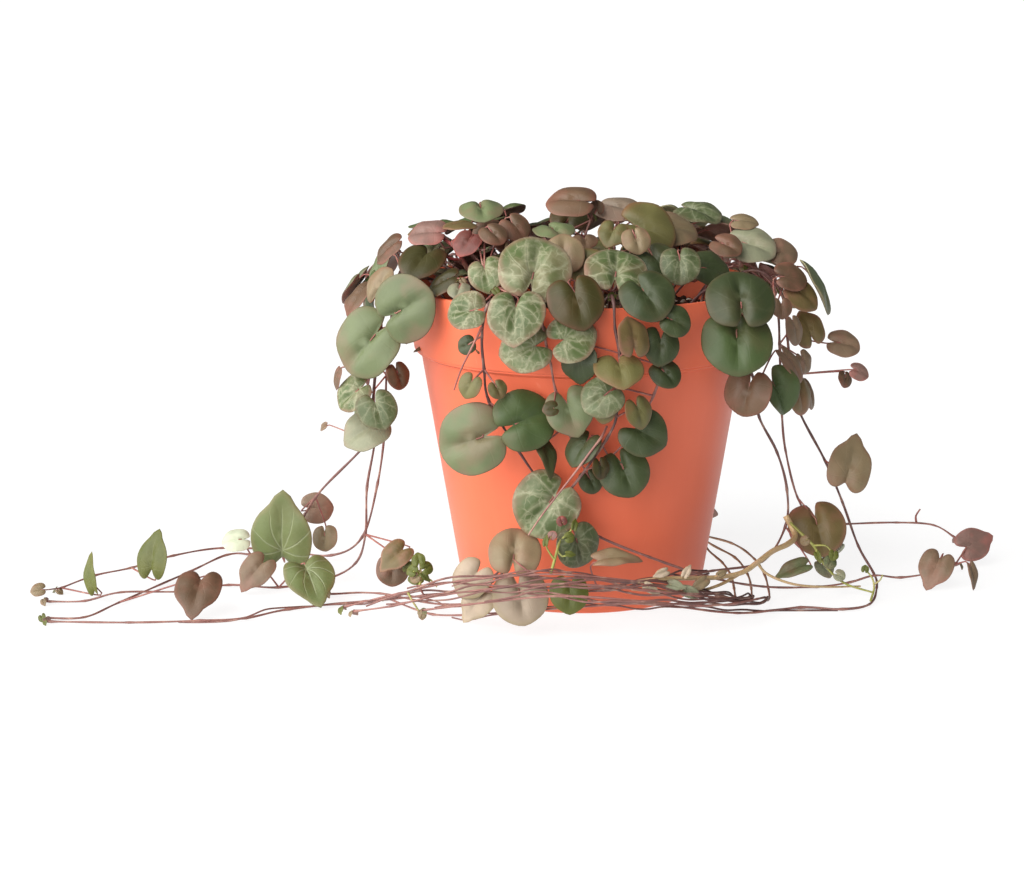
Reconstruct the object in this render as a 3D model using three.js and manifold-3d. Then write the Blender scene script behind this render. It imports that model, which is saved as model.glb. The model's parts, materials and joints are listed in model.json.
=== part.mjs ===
// A string of hearts (rosary vine) in its plastic nursery pot.
// Millimetres, +Z up; the origin is the middle of the pot's base, and -Y is the front.
import * as THREE from "three";
import { mergeVertices } from "three/addons/utils/BufferGeometryUtils.js";
import Module from "manifold-3d";

// ---- Driving sizes --------------------------------------------------------------------
const POT = {
  height: 107, wall: 1.4, floor: 2.4, sides: 36,
  baseRadius: 42.5, baseEdge: 1.2,      // outer radius at the base, and its rounding
  bodyTop: 83.2, bodyRadius: 55.7,      // where the body ends below the rim band
  bandFoot: 85, bandRadius: 58.2,       // lower edge of the rim band
  rimRadius: 61, lip: 1.2,              // outer radius of the rim, and its rounding
  holes: 6, holeRadius: 4, holeRing: 27, holeSides: 10,
};
const SOIL = {
  top: 94, bump: 1.1, gap: 0.35, sides: 18, shares: [0.99, 0.66, 0.33],
  holeRadius: 1.4, holeDepth: 10, holeSides: 4,
};
const STEM = { radius: 0.8, sides: 3, step: 18, floor: 0.95, bud: 2 };
const PETIOLE = { radius: 0.6, root: 0.4, run: 0.3, rise: 0.5, straight: 12 };
const BLADE = { points: 10, thickness: 1.7, width: 1.06, fold: 0.1, cup: 0.2, reach: 0.62 };
const HEART = {
  tip: 0.16, tipSpread: 0.3, notch: 0.62, notchSpread: 0.24, lobe: 0.14, lobeAt: 2.45, lobeSpread: 0.5,
};
const CLEAR = {
  blade: 0.5, stem: 1.4, stalk: 2, wall: 0.8, // least room beside blades, stems, stalks and the pot
  ownNode: 6,                           // a blade may come near its own stem this close to its node
  sample: 3, rim: 3.4, inner: 0.55,     // step along lines, rim per length, and the inner ring
  least: 10,                            // fewest points round a blade's rim
};
const NEAR = 1;                         // extra reach of the quick tests for what may touch
const SLIVERS = [0.02, 0.03, 0.04, 0.01, 0.06]; // edges shorter than one of these are closed up
const WELD = 1e-4;                      // corners closer than this are one
const NARROW = 1e-3;                    // no edge of a joined body is as short as this
const ROOT_DEPTH = 9;                   // how far a stem stands in the soil
const SEED = 20240;

// ---- The vines in front, set by hand ----------------------------------------------------
// root: where the stem leaves the soil (x, y); route: its nodes after that (x, y, z);
// leaves: blade middle (x, y, z), length, then the way its face looks (azimuth from the
// front towards +X, and elevation), and the turn of its tip from straight down towards +X.
const VINES = [
  { name: "vine_crown_left", root: [-30, -12],
    route: [[-34, -14, 112], [-40, -17, 121], [-46, -21, 121]],
    leaves: [[-34, -11, 133, 14, 0, 68, 10], [-41, -21, 129, 11, -10, 70, -60],
      [-52, -19, 126, 13, -20, 60, -80], [-53, -30, 118, 16.5, -5, 58, -20],
      [-31, -4, 124, 12, -30, 60, 150]] },
  { name: "vine_crown_front_left", root: [-26, -27],
    route: [[-29, -32, 108], [-32, -37, 115], [-38, -42, 114]],
    leaves: [[-22, -21, 128, 10, 20, 32, 30], [-38, -31, 124, 9.5, -20, 40, -20],
      [-29, -30, 127, 9, 15, 34, 30], [-31, -47, 116, 11.5, -10, 30, 20], [-40, -47, 111, 7, -10, 55, 0],
      [-46, -41, 112, 12, -55, 35, -40]] },
  { name: "vine_marbled_left", root: [-13, -36],
    route: [[-16, -44, 110], [-20, -51, 112.5], [-26.5, -54.5, 112.5]],
    leaves: [[-15, -57, 120, 22, 6, 22, 165], [-6, -40, 122, 13, 0, 30, 180],
      [-23, -61, 106, 17.5, -5, 22, 0], [-35, -63, 106, 12.5, -16, 18, -80],
      [-11, -34, 119, 11, 0, 45, 100]] },
  { name: "vine_crown_top", root: [-3, -10],
    route: [[-2, -11, 112], [1, -11, 124], [3, -9, 129]],
    leaves: [[-4, -10, 136, 16.5, -12, 62, -90], [5, -5, 133, 5, 0, 25, 180], [-9, -20, 127, 13, 0, 74, 30],
      [1, -25, 124, 8, 10, 50, 0], [-4, 8, 129, 14, -10, 60, 170]] },
  { name: "vine_marbled_right", root: [5, -36],
    route: [[4, -43, 109], [5, -50, 112], [9, -53, 111]],
    leaves: [[-1.5, -64, 110, 17, 6, 26, 12], [11, -52, 119, 19, 10, 28, 168],
      [10, -28, 127, 9.5, 0, 40, -20], [2, -37, 118, 12, 5, 40, 190], [18, -44, 112, 12, 20, 40, 80]] },
  { name: "vine_crown_middle", root: [13, -15],
    route: [[14, -16, 111], [17, -16, 120], [22, -18, 121]],
    leaves: [[13, 1, 132, 16, 5, 68, 60], [22, -12, 126, 20, 15, 52, 60], [18, -32, 125, 9, 10, 28, 10],
      [25, -31, 118, 13, 10, 40, 30], [4, -17, 119, 12, -10, 50, -100]] },
  { name: "vine_crown_right", root: [28, -12],
    route: [[31, -13, 110], [34, -13, 117], [37, -17, 115]],
    leaves: [[31, 0, 125, 18, 20, 62, 80], [41, 13, 129, 16, 20, 70, 40], [32, -41, 118, 12.5, 5, 28, 0],
      [43, -28, 115, 14, 30, 45, 70]] },
  { name: "vine_crown_far_right", root: [40, -6],
    route: [[44, -7, 110], [48, -7, 114], [54, -6, 113]],
    leaves: [[49, -13, 121, 10.5, 10, 52, 50], [56, 5, 127, 9.5, 10, 64, 80], [58, -8, 120, 17, 10, 70, 60],
      [69, -5, 117, 11, 22, 42, 90]] },
  { name: "vine_left_cluster", root: [-40, -16],
    route: [[-47, -20, 109], [-58, -26, 111], [-66, -29, 104], [-67, -29, 95], [-69, -26, 82],
      [-71, -24, 68], [-73, -20, 55], [-93, -8, 32], [-108, 10, 6], [-122, 28, 1.2], [-131, 28, 1],
      [-141, 5, 1], [-158, -32, 1], [-166, -49, 1], [-178, -50, 1]],
    leaves: [[-58, -40, 104, 21, -25, 16, 120], [-72, -31, 90, 22, -25, 16, -38],
      [-83, -22, 77, 8, -72, 12, 0], [-61, -36, 80, 9, 45, 12, 10], [-77, -29, 73, 13, -35, 20, -40],
      [-68, -32, 69, 13, 0, 24, 20], [-73, -27, 60, 16, -20, 42, -50], [-68, -19, 108, 13.5, -50, 22, 165],
      [-89, -12, 58, 5, -60, 20, -60], [-94, 4, 25, 11, 20, 32, 90], [-91, 2, 15.5, 9, -20, 20, 10],
      [-105, -2, 18, 24, -6, 12, 178], [-126, 20, 9, 10, 0, 55, -80], [-129, -42, 8.5, 17, 0, 44, -5]] },
  { name: "vine_left_hanging", root: [-42, -4],
    route: [[-50, -5, 110], [-60, -8, 112], [-67, -12, 104], [-69, -15, 90], [-71, -17, 72], [-71, -17, 55],
      [-74, -18, 38], [-75, -17, 21], [-80, -4, 7], [-90, -5, 1.5], [-106, -14, 1], [-124, -11, 1],
      [-139, -19, 1], [-158, -28, 3.4], [-170, -31, 1.2], [-182, -31, 1]],
    leaves: [[-66, -9, 119, 12, -60, 40, -30], [-76, -9, 103, 14, -65, 20, 10],
      [-78, -12, 88, 12, -60, 20, -20], [-62, -44, 21, 11, -10, 42, -40], [-64, -38, 14, 10.5, -5, 20, 0],
      [-93, -30, 9, 19, 8, 42, 15], [-113, -17, 8, 13, -10, 40, -30]] },
  { name: "vine_left_upper", root: [-36, 8],
    route: [[-46, 12, 109], [-58, 16, 112], [-66, 18, 104], [-68, 19, 88], [-70, 20, 70], [-71, 20, 50],
      [-74, 20, 30], [-80, 20, 10], [-92, 24, 2], [-112, 34, 1.2], [-134, 37, 1.2], [-149, 20, 3],
      [-161, 4, 3], [-172, -6, 3], [-181, -18, 2]],
    leaves: [[-70, 8, 112, 14, -70, 32, 20], [-76, 24, 98, 15, -80, 22, -10],
      [-78, 12, 84, 13, -75, 20, 15], [-76, 26, 72, 13, -95, 18, 0], [-79, 14, 60, 11, -75, 25, 0],
      [-150, -12, 11, 15, -35, 18, 186], [-168, -27, 8.5, 13, -48, 18, 200],
      [-185, -34, 6, 5, 0, 45, -80]] },
  { name: "vine_front_left", root: [-18, -46],
    route: [[-24, -54, 109.5], [-30, -59, 108], [-32, -59.5, 98], [-31.5, -58, 87], [-30, -57, 76],
      [-21, -55.5, 60], [-14, -53.5, 49], [-4, -51.5, 36], [6, -50.5, 29], [22, -53, 23], [42, -49, 15],
      [62, -30, 6], [82, -14, 1.2], [94, -11, 2], [103, -8, 3.6], [113, -3, 1.4], [126, 2, 2], [134, 8, 3]],
    leaves: [[-37, -60, 95, 6, -20, 20, -60], [-36, -61, 82, 8, -25, 18, -20],
      [-27, -62, 81, 6, 20, 18, 20], [-36, -61, 64, 21.5, -14, 12, -70], [-20, -61, 71, 19, 12, 12, 110],
      [-12, -61, 42, 20.5, -4, 14, -40], [-1, -62, 29, 14.5, 30, 14, 20], [124, -11, 7.5, 13, -10, 25, -20],
      [132, -16, 6, 9, 48, 18, 0], [142, 18, 8, 13, 10, 32, 110]] },
  { name: "vine_front_middle", root: [-6, -46],
    route: [[-9, -55, 109.5], [-13, -62, 109], [-12, -63, 99], [-10, -61.5, 89], [-8.5, -59, 80],
      [-5, -56, 68], [-2, -54, 58]],
    leaves: [[-18, -65, 95, 16, -6, 24, -76], [-3, -67, 99, 15, 8, 26, 105], [-4, -62, 74, 15, -5, 18, 20],
      [-10, -62, 76, 5, 0, 30, -80], [-12, -58, 60, 13.5, 52, 14, -15], [3, -57, 49, 8, 20, 20, 20]] },
  { name: "vine_front_right", root: [8, -46],
    route: [[9, -55, 109.5], [10, -63, 109.5], [10.5, -64, 101], [12, -63.5, 92], [11, -62, 82],
      [11, -62, 72], [8, -62, 65], [1, -60, 54], [-6, -57, 44], [-17, -55, 29], [-34, -52, 13],
      [-53, -44, 7], [-74, -32, 1.4], [-99, -40, 1], [-112, -50, 1], [-127, -53, 1], [-150, -55, 1],
      [-176, -54, 1]],
    leaves: [[16, -68, 99, 12.5, 42, 18, 174], [12, -69, 89, 15, 4, 32, 5], [7, -68, 76, 9.5, -45, 16, 0],
      [18, -69, 75, 10, 38, 16, 10], [6, -66, 56, 7, 45, 12, 0], [-36, -62, 18, 13, -20, 30, -30],
      [-55, -50, 15, 5, 0, 40, 60], [-58, -47, 17, 4.5, -30, 20, 150]] },
  { name: "vine_front_dark", root: [18, -42],
    route: [[22, -50, 109], [26, -57.5, 109], [27, -58.5, 99], [26, -58, 88], [23, -57, 78],
      [17, -56.5, 66], [9, -55.5, 57]],
    leaves: [[21, -60, 111, 16.5, 6, 34, 30], [30, -62, 103, 10, 20, 25, 60],
      [25, -63, 95, 12, 18, 20, -10], [27, -61, 86, 10, 20, 38, 30], [3, -64, 90, 12, -25, 16, 0],
      [6, -64, 80, 13, -8, 16, -50], [20, -63, 67, 15, 10, 16, 60], [2, -59, 62, 12.5, -40, 14, -10],
      [14, -60, 53, 15.5, 5, 18, 20]] },
  { name: "vine_right_front", root: [30, -34],
    route: [[40, -40, 109.5], [46, -46, 109.5], [52, -46, 101], [54, -42, 88], [58, -34, 76], [60, -24, 64],
      [67, -17, 50], [71, -13, 36], [71, -10, 22], [62, -23, 13], [44, -40, 14.5], [26, -55, 16],
      [5, -58.5, 14], [-20, -57, 10], [-46, -46, 4.5], [-70, -22, 1.2], [-86, -22, 1]],
    leaves: [[51, -51.5, 109.5, 21, 6, 42, 180], [50, -55, 95, 21.5, 4, 34, 0],
      [54, -48, 77, 15, -22, 14, -10], [65, -34, 75, 16, 34, 16, 20], [70, -27, 83, 13, 66, 12, 0],
      [74, -18, 9, 12, -10, 38, -60], [10, -66, 26, 14.5, 5, 40, 95], [-4, -66, 14, 12, 0, 20, 0],
      [-20, -66, 12.5, 17, 4, 30, 8], [-34, -68, 11, 12, -10, 28, -30]] },
  { name: "vine_right_side", root: [42, -22],
    route: [[50, -26, 109.5], [58, -27, 110], [65, -24, 102], [67, -18, 88], [68, -13, 74], [69, -10, 62],
      [71, -5, 48], [76, -1, 30], [84, 6, 18], [96, 16, 16], [114, 18, 16], [128, 22, 14], [136, 24, 9]],
    leaves: [[71, -12, 110, 11.5, 25, 44, 80], [75, -14, 104, 13, 38, 24, 40], [66, -34, 103, 7, 10, 25, 0],
      [72, -20, 93, 10, 55, 14, 0], [74, -22, 71, 13, 52, 16, 0], [76, -14, 81, 8, 50, 16, 20],
      [83, -8, 20, 19, 5, 44, 10], [89, -4, 12, 8, -10, 40, -40], [85, -10, 7, 7, 20, 40, 20]] },
  { name: "vine_right_long", root: [44, -6],
    route: [[53, -8, 110], [62, -9, 111], [69, -7, 102], [71, -3, 88], [73, 0, 74], [76, 1, 61],
      [86, 6, 42], [93, 9, 26], [99, 8, 10], [104, 2, 1.5], [103, -14, 1], [98, -34, 1], [88, -40, 1],
      [74, -38, 1], [52, -46, 1.5], [22, -57, 8], [0, -60, 8], [-26, -57, 5], [-50, -46, 1], [-66, -28, 1]],
    leaves: [[78, -6, 91, 12, 28, 20, 195], [91, 0, 85, 11.5, 15, 50, 70], [96, -5, 76, 7, 25, 40, 60],
      [94, 0, 41, 18, 15, 18, 160], [92, 2, 72, 6, 40, 20, -20], [80, 6, 66, 11, 70, 20, 0]] },
  { name: "vine_trail_high", root: [22, 39],
    route: [[26.4, 44.8, 108.5], [30.5, 51.7, 111], [32.3, 54.9, 103], [31.8, 54, 88], [31, 52.6, 64],
      [32, 54, 36], [38, 50, 14], [46, 36, 2], [51, 17, 1.2], [53, 0, 1.2], [53, -16, 1.2], [52.5, -30, 2],
      [52, -38, 4], [50.5, -46, 6.5], [46, -54, 10], [36, -61, 14], [20, -68, 18.5], [0, -72, 22],
      [-16, -72.5, 22.5], [-40, -68, 19], [-60, -60, 12.5], [-78, -53, 6]],
    leaves: [[-22, -63, 28, 16, 0, 38, 175], [41, 62, 92, 15, 150, 25, 20], [28, 64, 74, 14, 155, 30, -30],
      [45, 56, 12, 12, 150, 40, 60], [40, 62, 26, 11, 160, 35, -20]] },
  { name: "vine_trail_middle", root: [12, 44.5],
    route: [[13.7, 50.2, 108.5], [15.8, 57.9, 111], [16.8, 61.4, 103], [16.5, 60.4, 88], [16.1, 58.8, 64],
      [19, 60, 36], [32, 60, 12], [46, 46, 2], [56, 24, 1.2], [59, 2, 1.2], [59, -16, 1.2], [58, -30, 2],
      [57, -38, 4.5], [56, -46, 7], [50, -57, 10], [38, -66, 13.5], [20, -73, 17.5], [0, -77, 20.5],
      [-16, -77.5, 20.5], [-44, -73, 16], [-62, -66, 10], [-74, -60, 6.5]],
    leaves: [[24, 70, 82, 14, 165, 25, 30], [8, 68, 60, 13, 190, 30, -20], [34, 69, 10, 12, 170, 40, 50]] },
  { name: "vine_trail_low", root: [0, 44],
    route: [[0, 52, 108.5], [0, 60, 111], [0, 63.7, 103], [0, 62.7, 88], [0, 61, 64], [2, 63, 36],
      [16, 68, 12], [38, 62, 2], [56, 44, 1.2], [63, 22, 1.2], [65, 2, 1.2], [65, -14, 1.1],
      [64.5, -26, 1.1], [63, -36, 3], [61.5, -43, 6], [58, -53, 8.5], [50, -63, 10], [38, -72, 12],
      [20, -79, 15.5], [0, -82, 18], [-14, -82.5, 18], [-36, -79, 14.5], [-50, -75, 11.5]],
    leaves: [[-8, 72, 80, 14, 185, 25, -30], [8, 73, 98, 13, 175, 35, 20], [20, 77, 10, 12, 175, 40, 60],
      [44, 68, 8, 11, 160, 42, 30]] },
];

// ---- Vines by rule: the crown's middle and back, and the curtain round the back -----------
const CROWN = { vines: 15, from: -12, to: 192, stray: 14, ring: [6, 33], order: 7, nodes: 2, lean: [14, 24],
  foot: 6, top: [114, 131], droop: 0.25, leaf: [13, 20], aside: [0.3, 1.1], reach: 0.75, above: [2, 6],
  elevation: [48, 74], turn: [-35, 35] };
const CURTAIN = { vines: 12, from: 6, to: 174, ring: 42, stagger: 8, out: 9, lift: 108.5, arch: [58, 111.5],
  over: 68, start: 104, inward: 0.09, drop: [30, 96], spacing: [14, 20], sway: 9, leaf: [12, 20], taper: 0.66,
  aside: [0.05, 0.45], apart: [2, 0.42], clear: 5, below: [-2, 5], elevation: [12, 46], turn: [5, 60] };

/** Repeatable draws between 0 and 1. */
function draws(seed) {
  let state = seed >>> 0;
  return () => {
    state = (state + 0x6d2b79f5) >>> 0;
    let t = state;
    t = Math.imul(t ^ (t >>> 15), t | 1);
    t ^= t + Math.imul(t ^ (t >>> 7), t | 61);
    return ((t ^ (t >>> 14)) >>> 0) / 4294967296;
  };
}

const rad = (degrees) => degrees * Math.PI / 180;
const deg = (angle) => angle * 180 / Math.PI;
const mix = (a, b, t) => a + (b - a) * t;
const add = (a, b, k = 1) => [a[0] + k * b[0], a[1] + k * b[1], a[2] + k * b[2]];
const sub = (a, b) => add(a, b, -1);
const dot = (a, b) => a[0] * b[0] + a[1] * b[1] + a[2] * b[2];
const cross = (a, b) => [a[1] * b[2] - a[2] * b[1], a[2] * b[0] - a[0] * b[2], a[0] * b[1] - a[1] * b[0]];
const distance = (a, b) => Math.sqrt(dot(sub(a, b), sub(a, b)));
const unit = (a) => add([0, 0, 0], a, 1 / Math.sqrt(dot(a, a)));

/** Short leafy shoots that fill the crown from above and behind. */
function crownVines() {
  const next = draws(SEED);
  const pick = (range) => mix(...range, next());
  const vines = [];
  for (let i = 0; i < CROWN.vines; i += 1) {
    const angle = rad(mix(CROWN.from, CROWN.to, (i + 0.5) / CROWN.vines) + CROWN.stray * (next() - 0.5));
    const ring = mix(...CROWN.ring, ((i * CROWN.order) % CROWN.vines) / (CROWN.vines - 1));
    const out = [Math.cos(angle), Math.sin(angle), 0];
    const lean = pick(CROWN.lean);
    const top = pick(CROWN.top) - CROWN.droop * ring;
    const route = [];
    const leaves = [];
    for (let node = 1; node <= CROWN.nodes; node += 1) {
      const t = node / CROWN.nodes;
      const [x, y] = [(ring + lean * t) * out[0], (ring + lean * t) * out[1]];
      const z = mix(SOIL.top + CROWN.foot, top, t);
      route.push([x, y, z]);
      for (const side of [-1, 1]) {
        const length = pick(CROWN.leaf);
        const azimuth = angle + Math.PI / 2 + side * pick(CROWN.aside);
        const reach = CROWN.reach * length;
        const middle = [x + reach * Math.sin(azimuth), y - reach * Math.cos(azimuth), z + pick(CROWN.above)];
        leaves.push([...middle, length, deg(azimuth), pick(CROWN.elevation), pick(CROWN.turn)]);
      }
    }
    const root = [ring * out[0], ring * out[1]];
    vines.push({ name: `vine_crown_back_${i + 1}`, root, route, leaves, radial: true });
  }
  return vines;
}

/** Vines that hang over the rim in pairs of leaves, long at the back and short at the sides. */
function curtainVines() {
  const next = draws(SEED + 1);
  const pick = (range) => mix(...range, next());
  const vines = [];
  for (let i = 0; i < CURTAIN.vines; i += 1) {
    const angle = rad(mix(CURTAIN.from, CURTAIN.to, i / (CURTAIN.vines - 1)));
    const foot = CURTAIN.ring + CURTAIN.stagger * ((i % 2) - 0.5);
    const drop = pick(CURTAIN.drop) * Math.sin(angle) ** 2;
    const at = (ring, swing, z) => {
      const turn = angle + swing / ring;
      return [ring * Math.cos(turn), ring * Math.sin(turn), z];
    };
    const route = [at(foot + CURTAIN.out, 0, CURTAIN.lift), at(CURTAIN.arch[0], 0, CURTAIN.arch[1])];
    const leaves = [];
    for (let fall = 0; fall <= drop; fall += pick(CURTAIN.spacing)) {
      const ring = CURTAIN.over - CURTAIN.inward * fall;
      const point = at(ring, CURTAIN.sway * (next() - 0.5), CURTAIN.start - fall);
      route.push(point);
      const taper = mix(1, CURTAIN.taper, fall / CURTAIN.drop[1]);
      for (const side of [-1, 1]) {
        const length = taper * pick(CURTAIN.leaf);
        const face = angle + Math.PI / 2 + side * pick(CURTAIN.aside);
        const swing = side * (CURTAIN.apart[1] * length + CURTAIN.apart[0]);
        const middle = at(ring + CURTAIN.clear, swing, point[2] - pick(CURTAIN.below));
        leaves.push([...middle, length, deg(face), pick(CURTAIN.elevation), side * pick(CURTAIN.turn)]);
      }
    }
    const root = [foot * Math.cos(angle), foot * Math.sin(angle)];
    vines.push({ name: `vine_curtain_${i + 1}`, root, route, leaves, radial: true });
  }
  return vines;
}

// ---- Where stems run ----------------------------------------------------------------------
/** Points along a smooth path through the nodes, at most `step` apart, every node among them. */
function smoothPath(nodes, step) {
  const points = [nodes[0]];
  for (let i = 0; i + 1 < nodes.length; i += 1) {
    const b = nodes[i];
    const c = nodes[i + 1];
    const a = i > 0 ? nodes[i - 1] : add(b, sub(b, c));
    const d = i + 2 < nodes.length ? nodes[i + 2] : add(c, sub(c, b));
    const count = Math.max(1, Math.ceil(distance(b, c) / step));
    for (let k = 1; k <= count; k += 1) {
      const t = k / count;
      const point = [0, 1, 2].map((j) => 0.5 * (2 * b[j] + (c[j] - a[j]) * t
        + (2 * a[j] - 5 * b[j] + 4 * c[j] - d[j]) * t * t + (3 * b[j] - a[j] - 3 * c[j] + d[j]) * t * t * t));
      point[2] = Math.max(point[2], STEM.floor);
      points.push(point);
    }
  }
  return points;
}

/** A vine's nodes from inside its hole in the soil to the bud past its last leaves. */
function stemNodes({ root, route }) {
  const [before, last] = route.slice(-2);
  const bud = add(last, unit(sub(last, before)), STEM.bud);
  return [[...root, SOIL.top - ROOT_DEPTH], [...root, SOIL.top + 2], ...route, bud];
}

// ---- Leaf shape -----------------------------------------------------------------------------
/** The distance from a blade's middle to its edge, for a length of 1; angle 0 is the tip. */
function heart(angle) {
  const away = Math.abs(angle);
  const hump = (at, spread) => Math.exp(-(((away - at) / spread) ** 2));
  return 0.5 * (1 + HEART.tip * hump(0, HEART.tipSpread) + HEART.lobe * hump(HEART.lobeAt, HEART.lobeSpread)
    - HEART.notch * hump(Math.PI, HEART.notchSpread));
}

/** The three directions of a blade: towards its tip, across it, and out of its face. */
function bladeAxes(azimuth, elevation, turn) {
  const [a, e, t] = [rad(azimuth), rad(elevation), rad(turn)];
  const face = [Math.sin(a) * Math.cos(e), -Math.cos(a) * Math.cos(e), Math.sin(e)];
  const down = [Math.sin(a) * Math.sin(e), -Math.cos(a) * Math.sin(e), -Math.cos(e)];
  const side = cross(face, down);
  const tip = add([down[0] * Math.cos(t), down[1] * Math.cos(t), down[2] * Math.cos(t)], side, Math.sin(t));
  return { tip, face, across: cross(face, tip) };
}

/** How far the middle of the blade lies above its plane, folded at the rib and cupped down. */
const bladeRise = (along, across, length) => BLADE.fold * Math.abs(across)
  - BLADE.cup * (along * along + across * across) / length;

/** A point of a blade: `share` of the way from its middle to its edge, at an angle. */
function bladePoint(leaf, angle, share) {
  const reach = share * leaf.length * heart(angle);
  const along = reach * Math.cos(angle);
  const across = BLADE.width * reach * Math.sin(angle);
  const rise = bladeRise(along, across, leaf.length);
  return add(add(add(leaf.middle, leaf.tip, along), leaf.across, across), leaf.face, rise);
}

/** Points all over a blade, each with half the blade's thickness there, for its clearance. */
function bladeSamples(leaf) {
  const count = Math.max(CLEAR.least, Math.ceil(CLEAR.rim * leaf.length / CLEAR.sample));
  const samples = [{ point: leaf.middle, half: BLADE.thickness / 2 }];
  for (let i = 0; i < count; i += 1) {
    const angle = 2 * Math.PI * i / count - Math.PI;
    samples.push({ point: bladePoint(leaf, angle, 1), half: 0 });
    if (i % 2 === 0) {
      const half = BLADE.thickness / 2 * (1 - CLEAR.inner);
      samples.push({ point: bladePoint(leaf, angle, CLEAR.inner), half });
    }
  }
  return samples;
}

/** Whether a point lies within `room` of a blade. */
function nearBlade(point, leaf, room) {
  const offset = sub(point, leaf.middle);
  if (dot(offset, offset) > (BLADE.reach * leaf.length + room + NEAR) ** 2) return false;
  const along = dot(offset, leaf.tip);
  const across = dot(offset, leaf.across);
  const ring = Math.sqrt(along * along + (across / BLADE.width) ** 2);
  const edge = leaf.length * heart(Math.atan2(across / BLADE.width, along));
  if (ring > edge + room) return false;
  const half = BLADE.thickness / 2 * Math.max(0, 1 - ring / edge);
  return Math.abs(dot(offset, leaf.face) - bladeRise(along, across, leaf.length)) < room + half;
}

/** The stalk of a leaf: from its node on the stem to the notch, which it meets from beneath. */
function petiolePath(node, leaf) {
  const end = bladePoint(leaf, Math.PI, 1);
  if (distance(node, end) < PETIOLE.straight) return [node, end];
  const run = PETIOLE.run * Math.min(distance(node, end), leaf.length);
  return [node, add(add(end, leaf.tip, -run), leaf.face, -PETIOLE.rise * run), end];
}

// ---- Bending clear ---------------------------------------------------------------------------
/** The pot's outer radius at a height. */
function potRadius(z) {
  if (z < POT.bodyTop) return mix(POT.baseRadius, POT.bodyRadius, z / POT.bodyTop);
  return mix(POT.bandRadius, POT.rimRadius, (z - POT.bodyTop) / (POT.height - POT.bodyTop));
}

/** Whether a point is clear of the floor, the pot and the soil by `room`. */
function clearOfPot(point, room) {
  const [x, y, z] = point;
  const ring = Math.sqrt(x * x + y * y);
  if (z < room) return false;
  if (z > POT.height + room) return true;
  if (ring > potRadius(z) + room) return true;
  return z > SOIL.top + SOIL.bump + room && ring < potRadius(z) - POT.wall - 1 - room;
}

/** The shifts and tilts that are tried, in order, until a leaf is clear of what is there. */
const TRIES = [];
for (const aside of [0, 2, -2, 4, -4]) {
  for (const shift of [0, 2, -2, 4, -4, 6, -6, 8, 10]) {
    for (const tilt of [0, 14, -14, 26]) TRIES.push([aside, shift, tilt]);
  }
}

/** Sets every leaf where it crosses no other leaf, stem, stalk, wall or soil; else drops it. */
function settle(vines) {
  const stems = [];
  for (const vine of vines) {
    for (const point of smoothPath(stemNodes(vine), CLEAR.sample)) stems.push({ point, vine });
  }
  const placed = [];
  const stalks = [];
  for (const vine of vines) {
    vine.blades = [];
    for (const [x, y, z, length, azimuth, elevation, turn] of vine.leaves) {
      const ring = Math.sqrt(x * x + y * y);
      const out = vine.radial ? [x / ring, y / ring, 0] : [0, -1, 0];
      const along = [-out[1], out[0], 0];
      for (const [aside, shift, tilt] of TRIES) {
        const middle = add(add([x, y, z], out, shift), along, aside);
        const leaf = { length, middle, ...bladeAxes(azimuth, elevation + tilt, turn) };
        const reach = (node) => distance(node, bladePoint(leaf, Math.PI, 1));
        leaf.node = vine.route.reduce((best, node) => (reach(node) < reach(best) ? node : best));
        leaf.stalk = smoothPath(petiolePath(leaf.node, leaf), CLEAR.sample);
        if (fits(leaf, vine, placed, stalks, stems)) {
          vine.blades.push(leaf);
          placed.push({ leaf, samples: bladeSamples(leaf) });
          for (const point of leaf.stalk.slice(1)) stalks.push({ point, vine });
          break;
        }
      }
    }
  }
}

/** Whether a leaf and its stalk are clear of everything placed so far. */
function fits(leaf, vine, placed, stalks, stems) {
  const samples = bladeSamples(leaf);
  if (!samples.every(({ point, half }) => clearOfPot(point, CLEAR.wall + half))) return false;
  if (!leaf.stalk.every((point) => clearOfPot(point, CLEAR.wall))) return false;
  for (const other of placed) {
    const reach = BLADE.reach * (other.leaf.length + leaf.length) + 2 * NEAR;
    if (distance(other.leaf.middle, leaf.middle) > reach) continue;
    if (samples.some(({ point, half }) => nearBlade(point, other.leaf, CLEAR.blade + half))) return false;
    if (other.samples.some(({ point, half }) => nearBlade(point, leaf, CLEAR.blade + half))) return false;
  }
  for (const other of placed) {
    if (leaf.stalk.slice(1).some((point) => nearBlade(point, other.leaf, CLEAR.stem))) return false;
  }
  for (const { point, vine: owner } of stems) {
    if (owner !== vine || distance(point, leaf.node) > CLEAR.ownNode) {
      if (nearBlade(point, leaf, CLEAR.stem)) return false;
    }
    if (owner !== vine && leaf.stalk.some((at) => distance(at, point) < CLEAR.stalk)) return false;
  }
  for (const { point, vine: owner } of stalks) {
    if (nearBlade(point, leaf, CLEAR.stem)) return false;
    if (owner !== vine && leaf.stalk.some((at) => distance(at, point) < CLEAR.stalk)) return false;
  }
  return true;
}

// ---- Solids -----------------------------------------------------------------------------------
const wasm = await Module();
wasm.setup();

/** A closed geometry as a solid: shared corners are joined and flat slivers left out. */
function solid(geometry) {
  geometry.deleteAttribute("normal");
  geometry.deleteAttribute("uv");
  const merged = mergeVertices(geometry, WELD);
  const index = merged.index.array;
  const triangles = [];
  for (let i = 0; i < index.length; i += 3) {
    const [a, b, c] = [index[i], index[i + 1], index[i + 2]];
    if (a !== b && b !== c && c !== a) triangles.push(a, b, c);
  }
  return new wasm.Manifold(new wasm.Mesh({
    numProp: 3,
    vertProperties: new Float32Array(merged.attributes.position.array),
    triVerts: new Uint32Array(triangles),
  }));
}

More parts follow.
